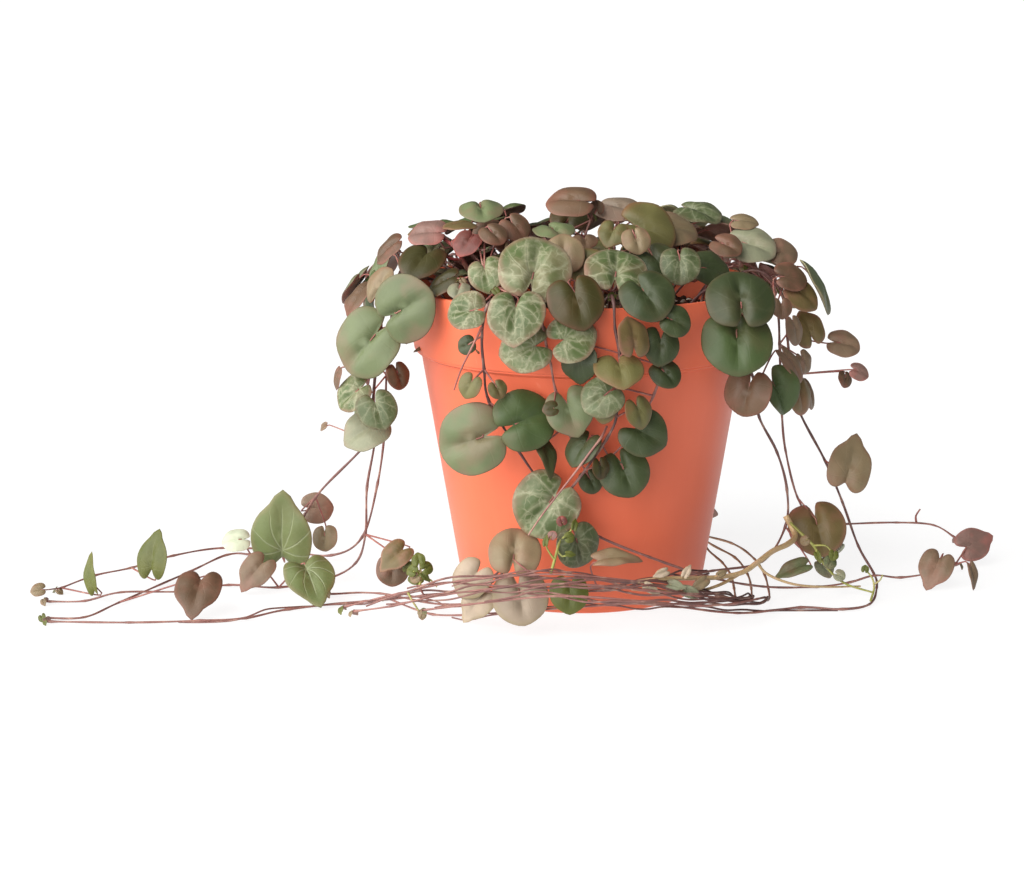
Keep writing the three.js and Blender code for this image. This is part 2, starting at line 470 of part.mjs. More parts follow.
/** A solid's own triangles as a three.js geometry. */
function geometryOf(body) {
  const mesh = body.getMesh();
  const geometry = new THREE.BufferGeometry();
  geometry.setAttribute("position", new THREE.BufferAttribute(new Float32Array(mesh.vertProperties), 3));
  geometry.setIndex(new THREE.BufferAttribute(new Uint32Array(mesh.triVerts), 1));
  geometry.computeVertexNormals();
  return geometry;
}

/** A path that passes through every one of its points, for the tubes. */
class PointPath extends THREE.Curve {
  constructor(points) {
    super();
    this.points = points.map((point) => new THREE.Vector3(...point));
  }

  getPoint(t, target = new THREE.Vector3()) {
    const place = t * (this.points.length - 1);
    const index = Math.min(Math.floor(place), this.points.length - 2);
    return target.lerpVectors(this.points[index], this.points[index + 1], place - index);
  }

  getUtoTmapping(u) {
    return u;
  }
}

/** A round tube through the points, with its ends closed. */
function tube(points, radius, sides) {
  const section = new THREE.Shape();
  for (let i = 0; i < sides; i += 1) {
    const angle = 2 * Math.PI * (i + 0.5) / sides;
    const corner = [radius * Math.cos(angle), radius * Math.sin(angle)];
    if (i === 0) section.moveTo(...corner);
    else section.lineTo(...corner);
  }
  section.closePath();
  const path = new PointPath(points);
  return solid(new THREE.ExtrudeGeometry(section, {
    steps: points.length - 1, bevelEnabled: false, extrudePath: path,
  }));
}

/** One leaf: a fleshy heart blade, thin at its edge, and its three-sided stalk, in one body. */
function leafSolid(leaf) {
  const half = BLADE.thickness / 2;
  const corners = [add(leaf.middle, leaf.face, half), add(leaf.middle, leaf.face, -half)];
  const index = [];
  const rim = (i) => 1 + i;
  for (let i = 1; i < BLADE.points; i += 1) {
    corners.push(bladePoint(leaf, 2 * Math.PI * i / BLADE.points - Math.PI, 1));
  }
  for (let i = 1; i + 1 < BLADE.points; i += 1) index.push(0, rim(i), rim(i + 1), 1, rim(i + 1), rim(i));

  // The stalk's rings of three corners, from the notch back to the stem.
  const path = petiolePath(leaf.node, leaf).reverse();
  const first = corners.length;
  let along = leaf.tip;
  let sideways = leaf.across;
  path.forEach((middle, k) => {
    if (k > 0) along = unit(sub(path[k - 1], path[Math.min(k + 1, path.length - 1)]));
    sideways = unit(add(sideways, along, -dot(sideways, along)));
    const upward = cross(along, sideways);
    const radius = k + 1 < path.length ? PETIOLE.radius : PETIOLE.root;
    for (const angle of [150, 30, 270]) {
      const [c, s] = [radius * Math.cos(rad(angle)), radius * Math.sin(rad(angle))];
      corners.push(add(add(middle, sideways, c), upward, s));
    }
  });
  const [left, right, under] = [first, first + 1, first + 2];
  const [start, end] = [rim(1), rim(BLADE.points - 1)];
  index.push(0, end, right, 0, right, left, 0, left, start);
  index.push(1, right, end, 1, under, right, 1, left, under, 1, start, left);
  for (let k = 0; k + 1 < path.length; k += 1) {
    for (let j = 0; j < 3; j += 1) {
      const [a, b] = [first + 3 * k + j, first + 3 * k + (j + 1) % 3];
      index.push(a, b, b + 3, a, b + 3, a + 3);
    }
  }
  const last = first + 3 * (path.length - 1);
  index.push(last, last + 1, last + 2);

  const geometry = new THREE.BufferGeometry();
  geometry.setAttribute("position", new THREE.BufferAttribute(new Float32Array(corners.flat()), 3));
  geometry.setIndex(index);
  return solid(geometry);
}

/** The smallest height of a body's triangles, or 0 if an edge isn't shared by two of them. */
function soundness(body) {
  const { vertProperties: place, triVerts: index } = body.getMesh();
  const corners = [];
  const names = new Map();
  for (let i = 0; i < place.length; i += 3) {
    const key = [...place.slice(i, i + 3)].map((value) => Math.round(value / NARROW)).join();
    if (!names.has(key)) names.set(key, names.size);
    corners.push({ point: [...place.slice(i, i + 3)], name: names.get(key) });
  }
  let least = Infinity;
  const uses = new Map();
  for (let i = 0; i < index.length; i += 3) {
    const [a, b, c] = [corners[index[i]], corners[index[i + 1]], corners[index[i + 2]]];
    const normal = cross(sub(b.point, a.point), sub(c.point, a.point));
    let longest = 0;
    for (const [from, to] of [[a, b], [b, c], [c, a]]) {
      longest = Math.max(longest, distance(from.point, to.point));
      const key = [from.name, to.name].sort().join();
      uses.set(key, (uses.get(key) ?? 0) + 1);
    }
    least = Math.min(least, Math.sqrt(dot(normal, normal)) / longest);
  }
  return [...uses.values()].every((count) => count === 2) ? least : 0;
}

/** A whole vine: its stem and leaves joined in one body, without any scrap that joining leaves. */
function vineSolid(vine) {
  let body = tube(smoothPath(stemNodes(vine), STEM.step), STEM.radius, STEM.sides);
  for (const leaf of vine.blades) body = body.add(leafSolid(leaf));
  const joined = body.asOriginal();
  const choices = SLIVERS.map((sliver) => {
    const pieces = joined.simplify(sliver).decompose();
    const piece = pieces.reduce((largest, other) => (other.volume() > largest.volume() ? other : largest));
    return { piece, sound: soundness(piece) };
  });
  return choices.reduce((best, choice) => (choice.sound > best.sound ? choice : best)).piece;
}

/** A profile of [radius, height] points turned round the upright axis. */
function turned(profile, sides) {
  const points = profile.map(([radius, z]) => new THREE.Vector2(radius, z));
  return new THREE.LatheGeometry(points, sides).rotateX(Math.PI / 2);
}

/** An upright cylinder round the middle of the frame. */
const upright = (radius, height, sides) => new THREE.CylinderGeometry(radius, radius, height, sides)
  .rotateX(Math.PI / 2);

/** The pot's inner wall from its floor up to the rim. */
const innerWall = (gap) => [
  [POT.baseRadius - POT.wall - gap, POT.floor + gap],
  [POT.bodyRadius - POT.wall - gap, POT.bodyTop],
  [POT.bandRadius - POT.wall - gap, POT.bandFoot + 1],
];

/** The nursery pot: tapered body, rim band, rounded lip and drain holes. */
function pot() {
  const lip = POT.rimRadius - POT.wall;
  const profile = [
    [0, 0], [POT.baseRadius - POT.baseEdge, 0], [POT.baseRadius, POT.baseEdge],
    [POT.bodyRadius, POT.bodyTop], [POT.bandRadius, POT.bandFoot],
    [POT.rimRadius, POT.height - POT.lip], [POT.rimRadius - POT.wall / 2, POT.height],
    [lip, POT.height - POT.lip],
    ...innerWall(0).reverse(), [0, POT.floor],
  ];
  let body = solid(turned(profile, POT.sides));
  for (let i = 0; i < POT.holes; i += 1) {
    const angle = 2 * Math.PI * i / POT.holes;
    const drill = upright(POT.holeRadius, 4 * POT.floor, POT.holeSides)
      .translate(POT.holeRing * Math.cos(angle), POT.holeRing * Math.sin(angle), POT.floor / 2);
    body = body.subtract(solid(drill));
  }
  return body;
}

/** The soil's height above its level, in low lumps. */
const soilBump = (x, y) => SOIL.bump * 0.5 * (Math.sin(0.23 * x + 1.3) * Math.cos(0.19 * y)
  + Math.sin(0.11 * x - 0.31 * y + 0.7));

/** The potting soil, lumpy on top, with a plain hole for each stem. */
function soil(vines) {
  const wall = innerWall(SOIL.gap);
  const up = (SOIL.top - POT.bandFoot) / (POT.height - POT.bandFoot);
  const edge = mix(wall[2][0], POT.rimRadius - POT.wall - SOIL.gap, up);
  const rings = SOIL.shares.map((share) => [edge * share, SOIL.top]);
  const geometry = turned([[0, POT.floor + SOIL.gap], ...wall, ...rings, [0, SOIL.top]], SOIL.sides);
  const position = geometry.attributes.position;
  for (let i = 0; i < position.count; i += 1) {
    if (position.getZ(i) > SOIL.top - SOIL.bump) {
      position.setZ(i, position.getZ(i) + soilBump(position.getX(i), position.getY(i)));
    }
  }
  let body = solid(geometry);
  for (const vine of vines) {
    const drill = upright(SOIL.holeRadius, 2 * SOIL.holeDepth, SOIL.holeSides);
    body = body.subtract(solid(drill.translate(...vine.root, SOIL.top)));
  }
  return body;
}

// ---- The part ------------------------------------------------------------------------------------
const PLASTIC = { color: 0xd9663f, roughness: 0.5, metalness: 0 };
const EARTH = { color: 0x2b1c14, roughness: 1, metalness: 0 };
const LEAF = { color: 0x55704e, roughness: 0.5, metalness: 0 };

/** A named mesh of one body in its material. */
function part(name, body, finish) {
  const mesh = new THREE.Mesh(geometryOf(body), new THREE.MeshStandardMaterial(finish));
  mesh.name = name;
  return mesh;
}

const vines = [...VINES, ...crownVines(), ...curtainVines()];
settle(vines);

const group = new THREE.Group();
group.add(part("pot", pot(), PLASTIC));
group.add(part("soil", soil(vines), EARTH));
for (const vine of vines) group.add(part(vine.name, vineSolid(vine), LEAF));

export default group;
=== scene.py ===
"""The looks of a string of hearts in its plastic nursery pot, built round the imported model.

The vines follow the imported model's own rules and sizes, so each finer vine lies where its solid is.
Lengths are in millimetres until a mesh is made, and +Z is up with -Y at the front.
"""

import json
import logging
import math
from dataclasses import dataclass, field, replace
from enum import Enum
from functools import cached_property, reduce
from itertools import product
from typing import Callable, Iterable, Iterator, Sequence

import bmesh
import bpy
import numpy as np
from mathutils import Euler, Matrix, Vector, noise

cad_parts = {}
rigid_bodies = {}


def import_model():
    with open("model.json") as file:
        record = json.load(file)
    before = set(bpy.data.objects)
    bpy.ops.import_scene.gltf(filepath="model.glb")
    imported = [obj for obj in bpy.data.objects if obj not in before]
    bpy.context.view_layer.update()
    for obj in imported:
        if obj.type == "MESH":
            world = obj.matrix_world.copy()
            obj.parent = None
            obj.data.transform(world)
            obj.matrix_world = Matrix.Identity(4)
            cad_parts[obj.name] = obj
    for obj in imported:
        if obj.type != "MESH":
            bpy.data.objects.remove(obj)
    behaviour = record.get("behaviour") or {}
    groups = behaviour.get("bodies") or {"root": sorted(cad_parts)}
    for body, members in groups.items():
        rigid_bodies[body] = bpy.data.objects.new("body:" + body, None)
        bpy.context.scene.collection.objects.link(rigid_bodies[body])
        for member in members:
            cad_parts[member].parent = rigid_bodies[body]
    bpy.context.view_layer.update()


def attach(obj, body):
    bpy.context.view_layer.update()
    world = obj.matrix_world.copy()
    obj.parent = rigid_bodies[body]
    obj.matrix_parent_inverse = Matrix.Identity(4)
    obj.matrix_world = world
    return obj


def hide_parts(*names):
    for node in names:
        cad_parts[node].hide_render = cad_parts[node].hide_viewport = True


LOG = logging.getLogger("string_of_hearts")
MM = 0.001
BODY = "root"
WORD = 0xFFFFFFFF  # the largest number of 32 bits
STRIDE = 0x6D2B79F5  # the step from one repeatable draw to the next

Point = tuple[float, float, float]
Colour = tuple[float, float, float]
Span = tuple[float, float]
Draw = Callable[[], float]
Values = np.ndarray | float


def srgb(red: int, green: int, blue: int) -> Colour:
    """A display colour, each channel from 0 to 255, as linear light."""
    shares = (channel / 255 for channel in (red, green, blue))
    return tuple(s / 12.92 if s <= 0.04045 else ((s + 0.055) / 1.055) ** 2.4 for s in shares)


def mix(low: float, high: float, share: float) -> float:
    """The value a share of the way from low to high."""
    return low + (high - low) * share


def draws(seed: int) -> Draw:
    """A source of repeatable draws between 0 and 1.

    Args:
        seed: The number that fixes the whole run of draws.

    Returns:
        A function that gives the next draw.
    """
    state = seed & WORD

    def draw() -> float:
        """The next draw."""
        nonlocal state
        state = (state + STRIDE) & WORD
        t = ((state ^ (state >> 15)) * (state | 1)) & WORD
        t ^= (t + ((t ^ (t >> 7)) * (t | 61))) & WORD
        return ((t ^ (t >> 14)) & WORD) / (WORD + 1)

    return draw


# ---- Finishes ------------------------------------


@dataclass(frozen=True)
class LeafLook:
    """How one kind of heart leaf is coloured.

    The shares run from 0, none, to 1, all over: `marble` for the silver net, `veins` for pale veins,
    `rim` for the tint along the edge and `blotch` for patches of that tint on the blade.
    """

    face: Colour
    tint: Colour
    marble: float
    veins: float
    rim: float
    blotch: float
    back: Colour = srgb(142, 112, 104)


GREEN_BACK = srgb(146, 144, 110)


class Tone(Enum):
    """The kinds of leaf on the plant, from fresh green through silver to brown and red. MOSS, and DARK
    where a whole vine takes it, are partly painted shade.
    """

    SAGE = LeafLook(srgb(98, 108, 74), srgb(118, 98, 78), 0.0, 0.03, 0.35, 0.55, GREEN_BACK)
    GREEN = LeafLook(srgb(68, 84, 46), srgb(86, 72, 48), 0.0, 0.04, 0.25, 0.3)
    DARK = LeafLook(srgb(52, 62, 34), srgb(80, 66, 42), 0.03, 0.04, 0.35, 0.2)
    # MOSS takes the colour of a leaf seen in deep shade, so it carries painted shade wherever it is used.
    MOSS = LeafLook(srgb(54, 50, 18), srgb(88, 58, 38), 0.0, 0.05, 0.6, 0.25)
    SILVER = LeafLook(srgb(78, 92, 52), srgb(132, 102, 84), 0.8, 0.45, 0.7, 0.3)
    NETTED = LeafLook(srgb(74, 84, 52), srgb(106, 86, 68), 0.45, 0.4, 0.4, 0.2)
    PALE = LeafLook(srgb(122, 124, 100), srgb(136, 118, 100), 0.2, 0.15, 0.3, 0.4, GREEN_BACK)
    MIST = LeafLook(srgb(184, 192, 168), srgb(184, 176, 156), 0.0, 0.1, 0.2, 0.3, GREEN_BACK)
    OLIVE = LeafLook(srgb(94, 90, 52), srgb(116, 80, 54), 0.0, 0.06, 0.5, 0.35)
    UMBER = LeafLook(srgb(108, 92, 56), srgb(136, 94, 76), 0.0, 0.05, 0.6, 0.45)
    BROWN = LeafLook(srgb(94, 72, 54), srgb(124, 78, 64), 0.0, 0.06, 0.4, 0.4)
    HAZEL = LeafLook(srgb(116, 96, 76), srgb(136, 96, 82), 0.0, 0.06, 0.4, 0.45)
    MAUVE = LeafLook(srgb(126, 110, 94), srgb(136, 106, 92), 0.0, 0.08, 0.3, 0.5)
    PINK = LeafLook(srgb(122, 94, 86), srgb(152, 92, 84), 0.0, 0.08, 0.5, 0.5)
    RED = LeafLook(srgb(98, 52, 46), srgb(146, 70, 62), 0.0, 0.06, 0.4, 0.5)
    FRESH = LeafLook(srgb(98, 109, 64), srgb(124, 106, 76), 0.1, 1.0, 0.35, 0.12, GREEN_BACK)
    BRIGHT = LeafLook(srgb(84, 90, 34), srgb(112, 104, 46), 0.0, 0.1, 0.25, 0.15, GREEN_BACK)
    TAN = LeafLook(srgb(122, 106, 80), srgb(130, 96, 76), 0.03, 0.08, 0.45, 0.4)
    BEIGE = LeafLook(srgb(168, 150, 130), srgb(136, 122, 84), 0.0, 0.08, 0.35, 0.4, srgb(164, 142, 124))


class Bark(Enum):
    """The colours of stems: old ones, their young ends, leaf stalks, ruddy and dry ones, new shoots."""

    WIRY = srgb(84, 54, 50)
    YOUNG = srgb(138, 92, 84)
    STALK = srgb(136, 78, 70)
    RUDDY = srgb(136, 56, 54)
    DRY = srgb(184, 156, 114)
    SHOOT = srgb(142, 144, 72)


# ---- The listed vines ----------------------------


@dataclass
class Vine:
    """One leafy stem.

    Attributes:
        name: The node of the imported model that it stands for.
        root: Where the stem leaves the soil (x, y).
        route: The stem's nodes after that.
        leaves: For each leaf the middle of its blade, its length, the way its face looks (azimuth from
            the front towards +X, and elevation) and the turn of its tip from straight down.
        looks: One word for each leaf, in order: its tone, then any form of blade after a slash.
        bark: The stem's colour.
        radial: Whether its leaves give way outwards from the pot, and not to the front.
        twined: How many thinner stems twine round the part that lies in front of the pot.
    """

    name: str
    root: tuple[float, float]
    route: tuple[Point, ...]
    leaves: tuple[tuple[float, ...], ...]
    looks: str
    bark: Bark = Bark.WIRY
    radial: bool = False
    twined: int = 0


VINES = (
    Vine("vine_crown_left", (-30, -12),
         ((-34, -14, 112), (-40, -17, 121), (-46, -21, 121)),
         ((-34, -11, 133, 14, 0, 68, 10), (-41, -21, 129, 11, -10, 70, -60),
          (-52, -19, 126, 13, -20, 60, -80), (-53, -30, 118, 16.5, -5, 58, -20),
          (-31, -4, 124, 12, -30, 60, 150)),
         "sage umber pink moss/pointed brown/folded"),
    Vine("vine_crown_front_left", (-26, -27),
         ((-29, -32, 108), (-32, -37, 115), (-38, -42, 114)),
         ((-22, -21, 128, 10, 20, 32, 30), (-38, -31, 124, 9.5, -20, 40, -20),
          (-29, -30, 127, 9, 15, 34, 30), (-31, -47, 116, 11.5, -10, 30, 20),
          (-40, -47, 111, 7, -10, 55, 0), (-46, -41, 112, 12, -55, 35, -40)),
         "brown red brown silver pale moss"),
    Vine("vine_marbled_left", (-13, -36),
         ((-16, -44, 110), (-20, -51, 112.5), (-26.5, -54.5, 112.5)),
         ((-15, -57, 120, 22, 6, 22, 165), (-6, -40, 122, 13, 0, 30, 180),
          (-23, -61, 106, 17.5, -5, 22, 0), (-35, -63, 106, 12.5, -16, 18, -80),
          (-11, -34, 119, 11, 0, 45, 100)),
         "silver tan silver silver netted"),
    Vine("vine_crown_top", (-3, -10),
         ((-2, -11, 112), (1, -11, 124), (3, -9, 129)),
         ((-4, -10, 136, 16.5, -12, 62, -90), (5, -5, 133, 5, 0, 25, 180),
          (-9, -20, 127, 13, 0, 74, 30), (1, -25, 124, 8, 10, 50, 0),
          (-4, 8, 129, 14, -10, 60, 170)),
         "brown/round brown sage brown moss"),
    Vine("vine_marbled_right", (5, -36),
         ((4, -43, 109), (5, -50, 112), (9, -53, 111)),
         ((-1.5, -64, 110, 17, 6, 26, 12), (11, -52, 119, 19, 10, 28, 168),
          (10, -28, 127, 9.5, 0, 40, -20), (2, -37, 118, 12, 5, 40, 190),
          (18, -44, 112, 12, 20, 40, 80)),
         "moss silver olive olive dark"),
    Vine("vine_crown_middle", (13, -15),
         ((14, -16, 111), (17, -16, 120), (22, -18, 121)),
         ((13, 1, 132, 16, 5, 68, 60), (22, -12, 126, 20, 15, 52, 60),
          (18, -32, 125, 9, 10, 28, 10), (25, -31, 118, 13, 10, 40, 30),
          (4, -17, 119, 12, -10, 50, -100)),
         "mauve olive tan dark olive"),
    Vine("vine_crown_right", (28, -12),
         ((31, -13, 110), (34, -13, 117), (37, -17, 115)),
         ((31, 0, 125, 18, 20, 62, 80), (41, 13, 129, 16, 20, 70, 40),
          (32, -41, 118, 12.5, 5, 28, 0), (43, -28, 115, 14, 30, 45, 70)),
         "tan netted netted dark"),
    Vine("vine_crown_far_right", (40, -6),
         ((44, -7, 110), (48, -7, 114), (54, -6, 113)),
         ((49, -13, 121, 10.5, 10, 52, 50), (56, 5, 127, 9.5, 10, 64, 80),
          (58, -8, 120, 17, 10, 70, 60), (69, -5, 117, 11, 22, 42, 90)),
         "brown tan pale hazel"),
    Vine("vine_left_cluster", (-40, -16),
         ((-47, -20, 109), (-58, -26, 111), (-66, -29, 104), (-67, -29, 95), (-69, -26, 82),
          (-71, -24, 68), (-73, -20, 55), (-93, -8, 32), (-108, 10, 6), (-122, 28, 1.2),
          (-131, 28, 1), (-141, 5, 1), (-158, -32, 1), (-166, -49, 1), (-178, -50, 1)),
         ((-58, -40, 104, 21, -25, 16, 120), (-72, -31, 90, 22, -25, 16, -38),
          (-83, -22, 77, 8, -72, 12, 0), (-61, -36, 80, 9, 45, 12, 10),
          (-77, -29, 73, 13, -35, 20, -40), (-68, -32, 69, 13, 0, 24, 20),
          (-73, -27, 60, 16, -20, 42, -50), (-68, -19, 108, 13.5, -50, 22, 165),
          (-89, -12, 58, 5, -60, 20, -60), (-94, 4, 25, 11, 20, 32, 90),
          (-91, 2, 15.5, 9, -20, 20, 10), (-105, -2, 18, 24, -6, 12, 178),
          (-126, 20, 9, 10, 0, 55, -80), (-129, -42, 8.5, 17, 0, 44, -5)),
         "sage/round sage/round brown brown silver netted pale tan hazel/narrow mauve tan fresh/ivy mist "
         "brown/pointed"),
    Vine("vine_left_hanging", (-42, -4),
         ((-50, -5, 110), (-60, -8, 112), (-67, -12, 104), (-69, -15, 90), (-71, -17, 72),
          (-71, -17, 55), (-74, -18, 38), (-75, -17, 21), (-80, -4, 7), (-90, -5, 1.5),
          (-106, -14, 1), (-124, -11, 1), (-139, -19, 1), (-158, -28, 3.4), (-170, -31, 1.2),
          (-182, -31, 1)),
         ((-66, -9, 119, 12, -60, 40, -30), (-76, -9, 103, 14, -65, 20, 10),
          (-78, -12, 88, 12, -60, 20, -20), (-62, -44, 21, 11, -10, 42, -40),
          (-64, -38, 14, 10.5, -5, 20, 0), (-93, -30, 9, 19, 8, 42, 15),
          (-113, -17, 8, 13, -10, 40, -30)),
         "brown brown sage umber/pointed brown fresh/ivy hazel/pointed"),
    Vine("vine_left_upper", (-36, 8),
         ((-46, 12, 109), (-58, 16, 112), (-66, 18, 104), (-68, 19, 88), (-70, 20, 70),
          (-71, 20, 50), (-74, 20, 30), (-80, 20, 10), (-92, 24, 2), (-112, 34, 1.2),
          (-134, 37, 1.2), (-149, 20, 3), (-161, 4, 3), (-172, -6, 3), (-181, -18, 2)),
         ((-70, 8, 112, 14, -70, 32, 20), (-76, 24, 98, 15, -80, 22, -10),
          (-78, 12, 84, 13, -75, 20, 15), (-76, 26, 72, 13, -95, 18, 0),
          (-79, 14, 60, 11, -75, 25, 0), (-150, -12, 11, 15, -35, 18, 186),
          (-168, -27, 8.5, 13, -48, 18, 200), (-185, -34, 6, 5, 0, 45, -80)),
         "sage tan sage dark sage bright/pointed bright/narrow tan"),
    Vine("vine_front_left", (-18, -46),
         ((-24, -54, 109.5), (-30, -59, 108), (-32, -59.5, 98), (-31.5, -58, 87), (-30, -57, 76),
          (-21, -55.5, 60), (-14, -53.5, 49), (-4, -51.5, 36), (6, -50.5, 29), (22, -53, 23),
          (42, -49, 15), (62, -30, 6), (82, -14, 1.2), (94, -11, 2), (103, -8, 3.6),
          (113, -3, 1.4), (126, 2, 2), (134, 8, 3)),
         ((-37, -60, 95, 6, -20, 20, -60), (-36, -61, 82, 8, -25, 18, -20),
          (-27, -62, 81, 6, 20, 18, 20), (-36, -61, 64, 21.5, -14, 12, -70),
          (-20, -61, 71, 19, 12, 12, 110), (-12, -61, 42, 20.5, -4, 14, -40),
          (-1, -62, 29, 14.5, 30, 14, 20), (124, -11, 7.5, 13, -10, 25, -20),
          (132, -16, 6, 9, 48, 18, 0), (142, 18, 8, 13, 10, 32, 110)),
         "dark olive olive sage/round green/round silver netted hazel/pointed hazel/narrow pink/pointed"),
    # Painted shade: the fourth leaf here is small, edge-on and moss-toned, a dark leaf set where shade
    # falls between the leaves around it.
    Vine("vine_front_middle", (-6, -46),
         ((-9, -55, 109.5), (-13, -62, 109), (-12, -63, 99), (-10, -61.5, 89), (-8.5, -59, 80),
          (-5, -56, 68), (-2, -54, 58)),
         ((-18, -65, 95, 16, -6, 24, -76), (-3, -67, 99, 15, 8, 26, 105),
          (-4, -62, 74, 15, -5, 18, 20), (-10, -62, 76, 5, 0, 30, -80),
          (-12, -58, 60, 13.5, 52, 14, -15), (3, -57, 49, 8, 20, 20, 20)),
         "silver silver sage moss dark/narrow dark"),
    Vine("vine_front_right", (8, -46),
         ((9, -55, 109.5), (10, -63, 109.5), (10.5, -64, 101), (12, -63.5, 92), (11, -62, 82),
          (11, -62, 72), (8, -62, 65), (1, -60, 54), (-6, -57, 44), (-17, -55, 29), (-34, -52, 13),
          (-53, -44, 7), (-74, -32, 1.4), (-99, -40, 1), (-112, -50, 1), (-127, -53, 1),
          (-150, -55, 1), (-176, -54, 1)),
         ((16, -68, 99, 12.5, 42, 18, 174), (12, -69, 89, 15, 4, 32, 5),
          (7, -68, 76, 9.5, -45, 16, 0), (18, -69, 75, 10, 38, 16, 10), (6, -66, 56, 7, 45, 12, 0),
          (-36, -62, 18, 13, -20, 30, -30), (-55, -50, 15, 5, 0, 40, 60),
          (-58, -47, 17, 4.5, -30, 20, 150)),
         "umber olive olive olive moss beige bright bright", twined=1),
    # Painted shade: nearly every leaf here takes the dark tone because this vine hangs in shade, behind the
    # vines in front of it and close to the pot.
    Vine("vine_front_dark", (18, -42),
         ((22, -50, 109), (26, -57.5, 109), (27, -58.5, 99), (26, -58, 88), (23, -57, 78),
          (17, -56.5, 66), (9, -55.5, 57)),
         ((21, -60, 111, 16.5, 6, 34, 30), (30, -62, 103, 10, 20, 25, 60),
          (25, -63, 95, 12, 18, 20, -10), (27, -61, 86, 10, 20, 38, 30),
          (3, -64, 90, 12, -25, 16, 0), (6, -64, 80, 13, -8, 16, -50),
          (20, -63, 67, 15, 10, 16, 60), (2, -59, 62, 12.5, -40, 14, -10),
          (14, -60, 53, 15.5, 5, 18, 20)),
         "dark dark dark dark dark netted dark dark dark"),
    Vine("vine_right_front", (30, -34),
         ((40, -40, 109.5), (46, -46, 109.5), (52, -46, 101), (54, -42, 88), (58, -34, 76),
          (60, -24, 64), (67, -17, 50), (71, -13, 36), (71, -10, 22), (62, -23, 13),
          (44, -40, 14.5), (26, -55, 16), (5, -58.5, 14), (-20, -57, 10), (-46, -46, 4.5),
          (-70, -22, 1.2), (-86, -22, 1)),
         ((51, -51.5, 109.5, 21, 6, 42, 180), (50, -55, 95, 21.5, 4, 34, 0),
          (54, -48, 77, 15, -22, 14, -10), (65, -34, 75, 16, 34, 16, 20),
          (70, -27, 83, 13, 66, 12, 0), (74, -18, 9, 12, -10, 38, -60),
          (10, -66, 26, 14.5, 5, 40, 95), (-4, -66, 14, 12, 0, 20, 0),
          (-20, -66, 12.5, 17, 4, 30, 8), (-34, -68, 11, 12, -10, 28, -30)),
         "dark/round green/round brown green/folded hazel sage/narrow tan/narrow bright beige beige/ivy",
         twined=2),
    Vine("vine_right_side", (42, -22),
         ((50, -26, 109.5), (58, -27, 110), (65, -24, 102), (67, -18, 88), (68, -13, 74),
          (69, -10, 62), (71, -5, 48), (76, -1, 30), (84, 6, 18), (96, 16, 16), (114, 18, 16),
          (128, 22, 14), (136, 24, 9)),
         ((71, -12, 110, 11.5, 25, 44, 80), (75, -14, 104, 13, 38, 24, 40),
          (66, -34, 103, 7, 10, 25, 0), (72, -20, 93, 10, 55, 14, 0), (74, -22, 71, 13, 52, 16, 0),
          (76, -14, 81, 8, 50, 16, 20), (83, -8, 20, 19, 5, 44, 10), (89, -4, 12, 8, -10, 40, -40),
          (85, -10, 7, 7, 20, 40, 20)),
         "brown umber brown hazel umber hazel umber mist/narrow pale"),
    Vine("vine_right_long", (44, -6),
         ((53, -8, 110), (62, -9, 111), (69, -7, 102), (71, -3, 88), (73, 0, 74), (76, 1, 61),
          (86, 6, 42), (93, 9, 26), (99, 8, 10), (104, 2, 1.5), (103, -14, 1), (98, -34, 1),
          (88, -40, 1), (74, -38, 1), (52, -46, 1.5), (22, -57, 8), (0, -60, 8), (-26, -57, 5),
          (-50, -46, 1), (-66, -28, 1)),
         ((78, -6, 91, 12, 28, 20, 195), (91, 0, 85, 11.5, 15, 50, 70),
          (96, -5, 76, 7, 25, 40, 60), (94, 0, 41, 18, 15, 18, 160), (92, 2, 72, 6, 40, 20, -20),
          (80, 6, 66, 11, 70, 20, 0)),
         "umber hazel pink tan/ivy brown hazel", twined=1),
    Vine("vine_trail_high", (22, 39),
         ((26.4, 44.8, 108.5), (30.5, 51.7, 111), (32.3, 54.9, 103), (31.8, 54, 88),
          (31, 52.6, 64), (32, 54, 36), (38, 50, 14), (46, 36, 2), (51, 17, 1.2), (53, 0, 1.2),
          (53, -16, 1.2), (52.5, -30, 2), (52, -38, 4), (50.5, -46, 6.5), (46, -54, 10),
          (36, -61, 14), (20, -68, 18.5), (0, -72, 22), (-16, -72.5, 22.5), (-40, -68, 19),
          (-60, -60, 12.5), (-78, -53, 6)),
         ((-22, -63, 28, 16, 0, 38, 175), (41, 62, 92, 15, 150, 25, 20),
          (28, 64, 74, 14, 155, 30, -30), (45, 56, 12, 12, 150, 40, 60),
          (40, 62, 26, 11, 160, 35, -20)),
         "tan sage dark olive sage", bark=Bark.DRY, twined=3),
    Vine("vine_trail_middle", (12, 44.5),
         ((13.7, 50.2, 108.5), (15.8, 57.9, 111), (16.8, 61.4, 103), (16.5, 60.4, 88),
          (16.1, 58.8, 64), (19, 60, 36), (32, 60, 12), (46, 46, 2), (56, 24, 1.2), (59, 2, 1.2),
          (59, -16, 1.2), (58, -30, 2), (57, -38, 4.5), (56, -46, 7), (50, -57, 10),
          (38, -66, 13.5), (20, -73, 17.5), (0, -77, 20.5), (-16, -77.5, 20.5), (-44, -73, 16),
          (-62, -66, 10), (-74, -60, 6.5)),
         ((24, 70, 82, 14, 165, 25, 30), (8, 68, 60, 13, 190, 30, -20),
          (34, 69, 10, 12, 170, 40, 50)),
         "silver sage brown", bark=Bark.DRY, twined=3),
    Vine("vine_trail_low", (0, 44),
         ((0, 52, 108.5), (0, 60, 111), (0, 63.7, 103), (0, 62.7, 88), (0, 61, 64), (2, 63, 36),
          (16, 68, 12), (38, 62, 2), (56, 44, 1.2), (63, 22, 1.2), (65, 2, 1.2), (65, -14, 1.1),
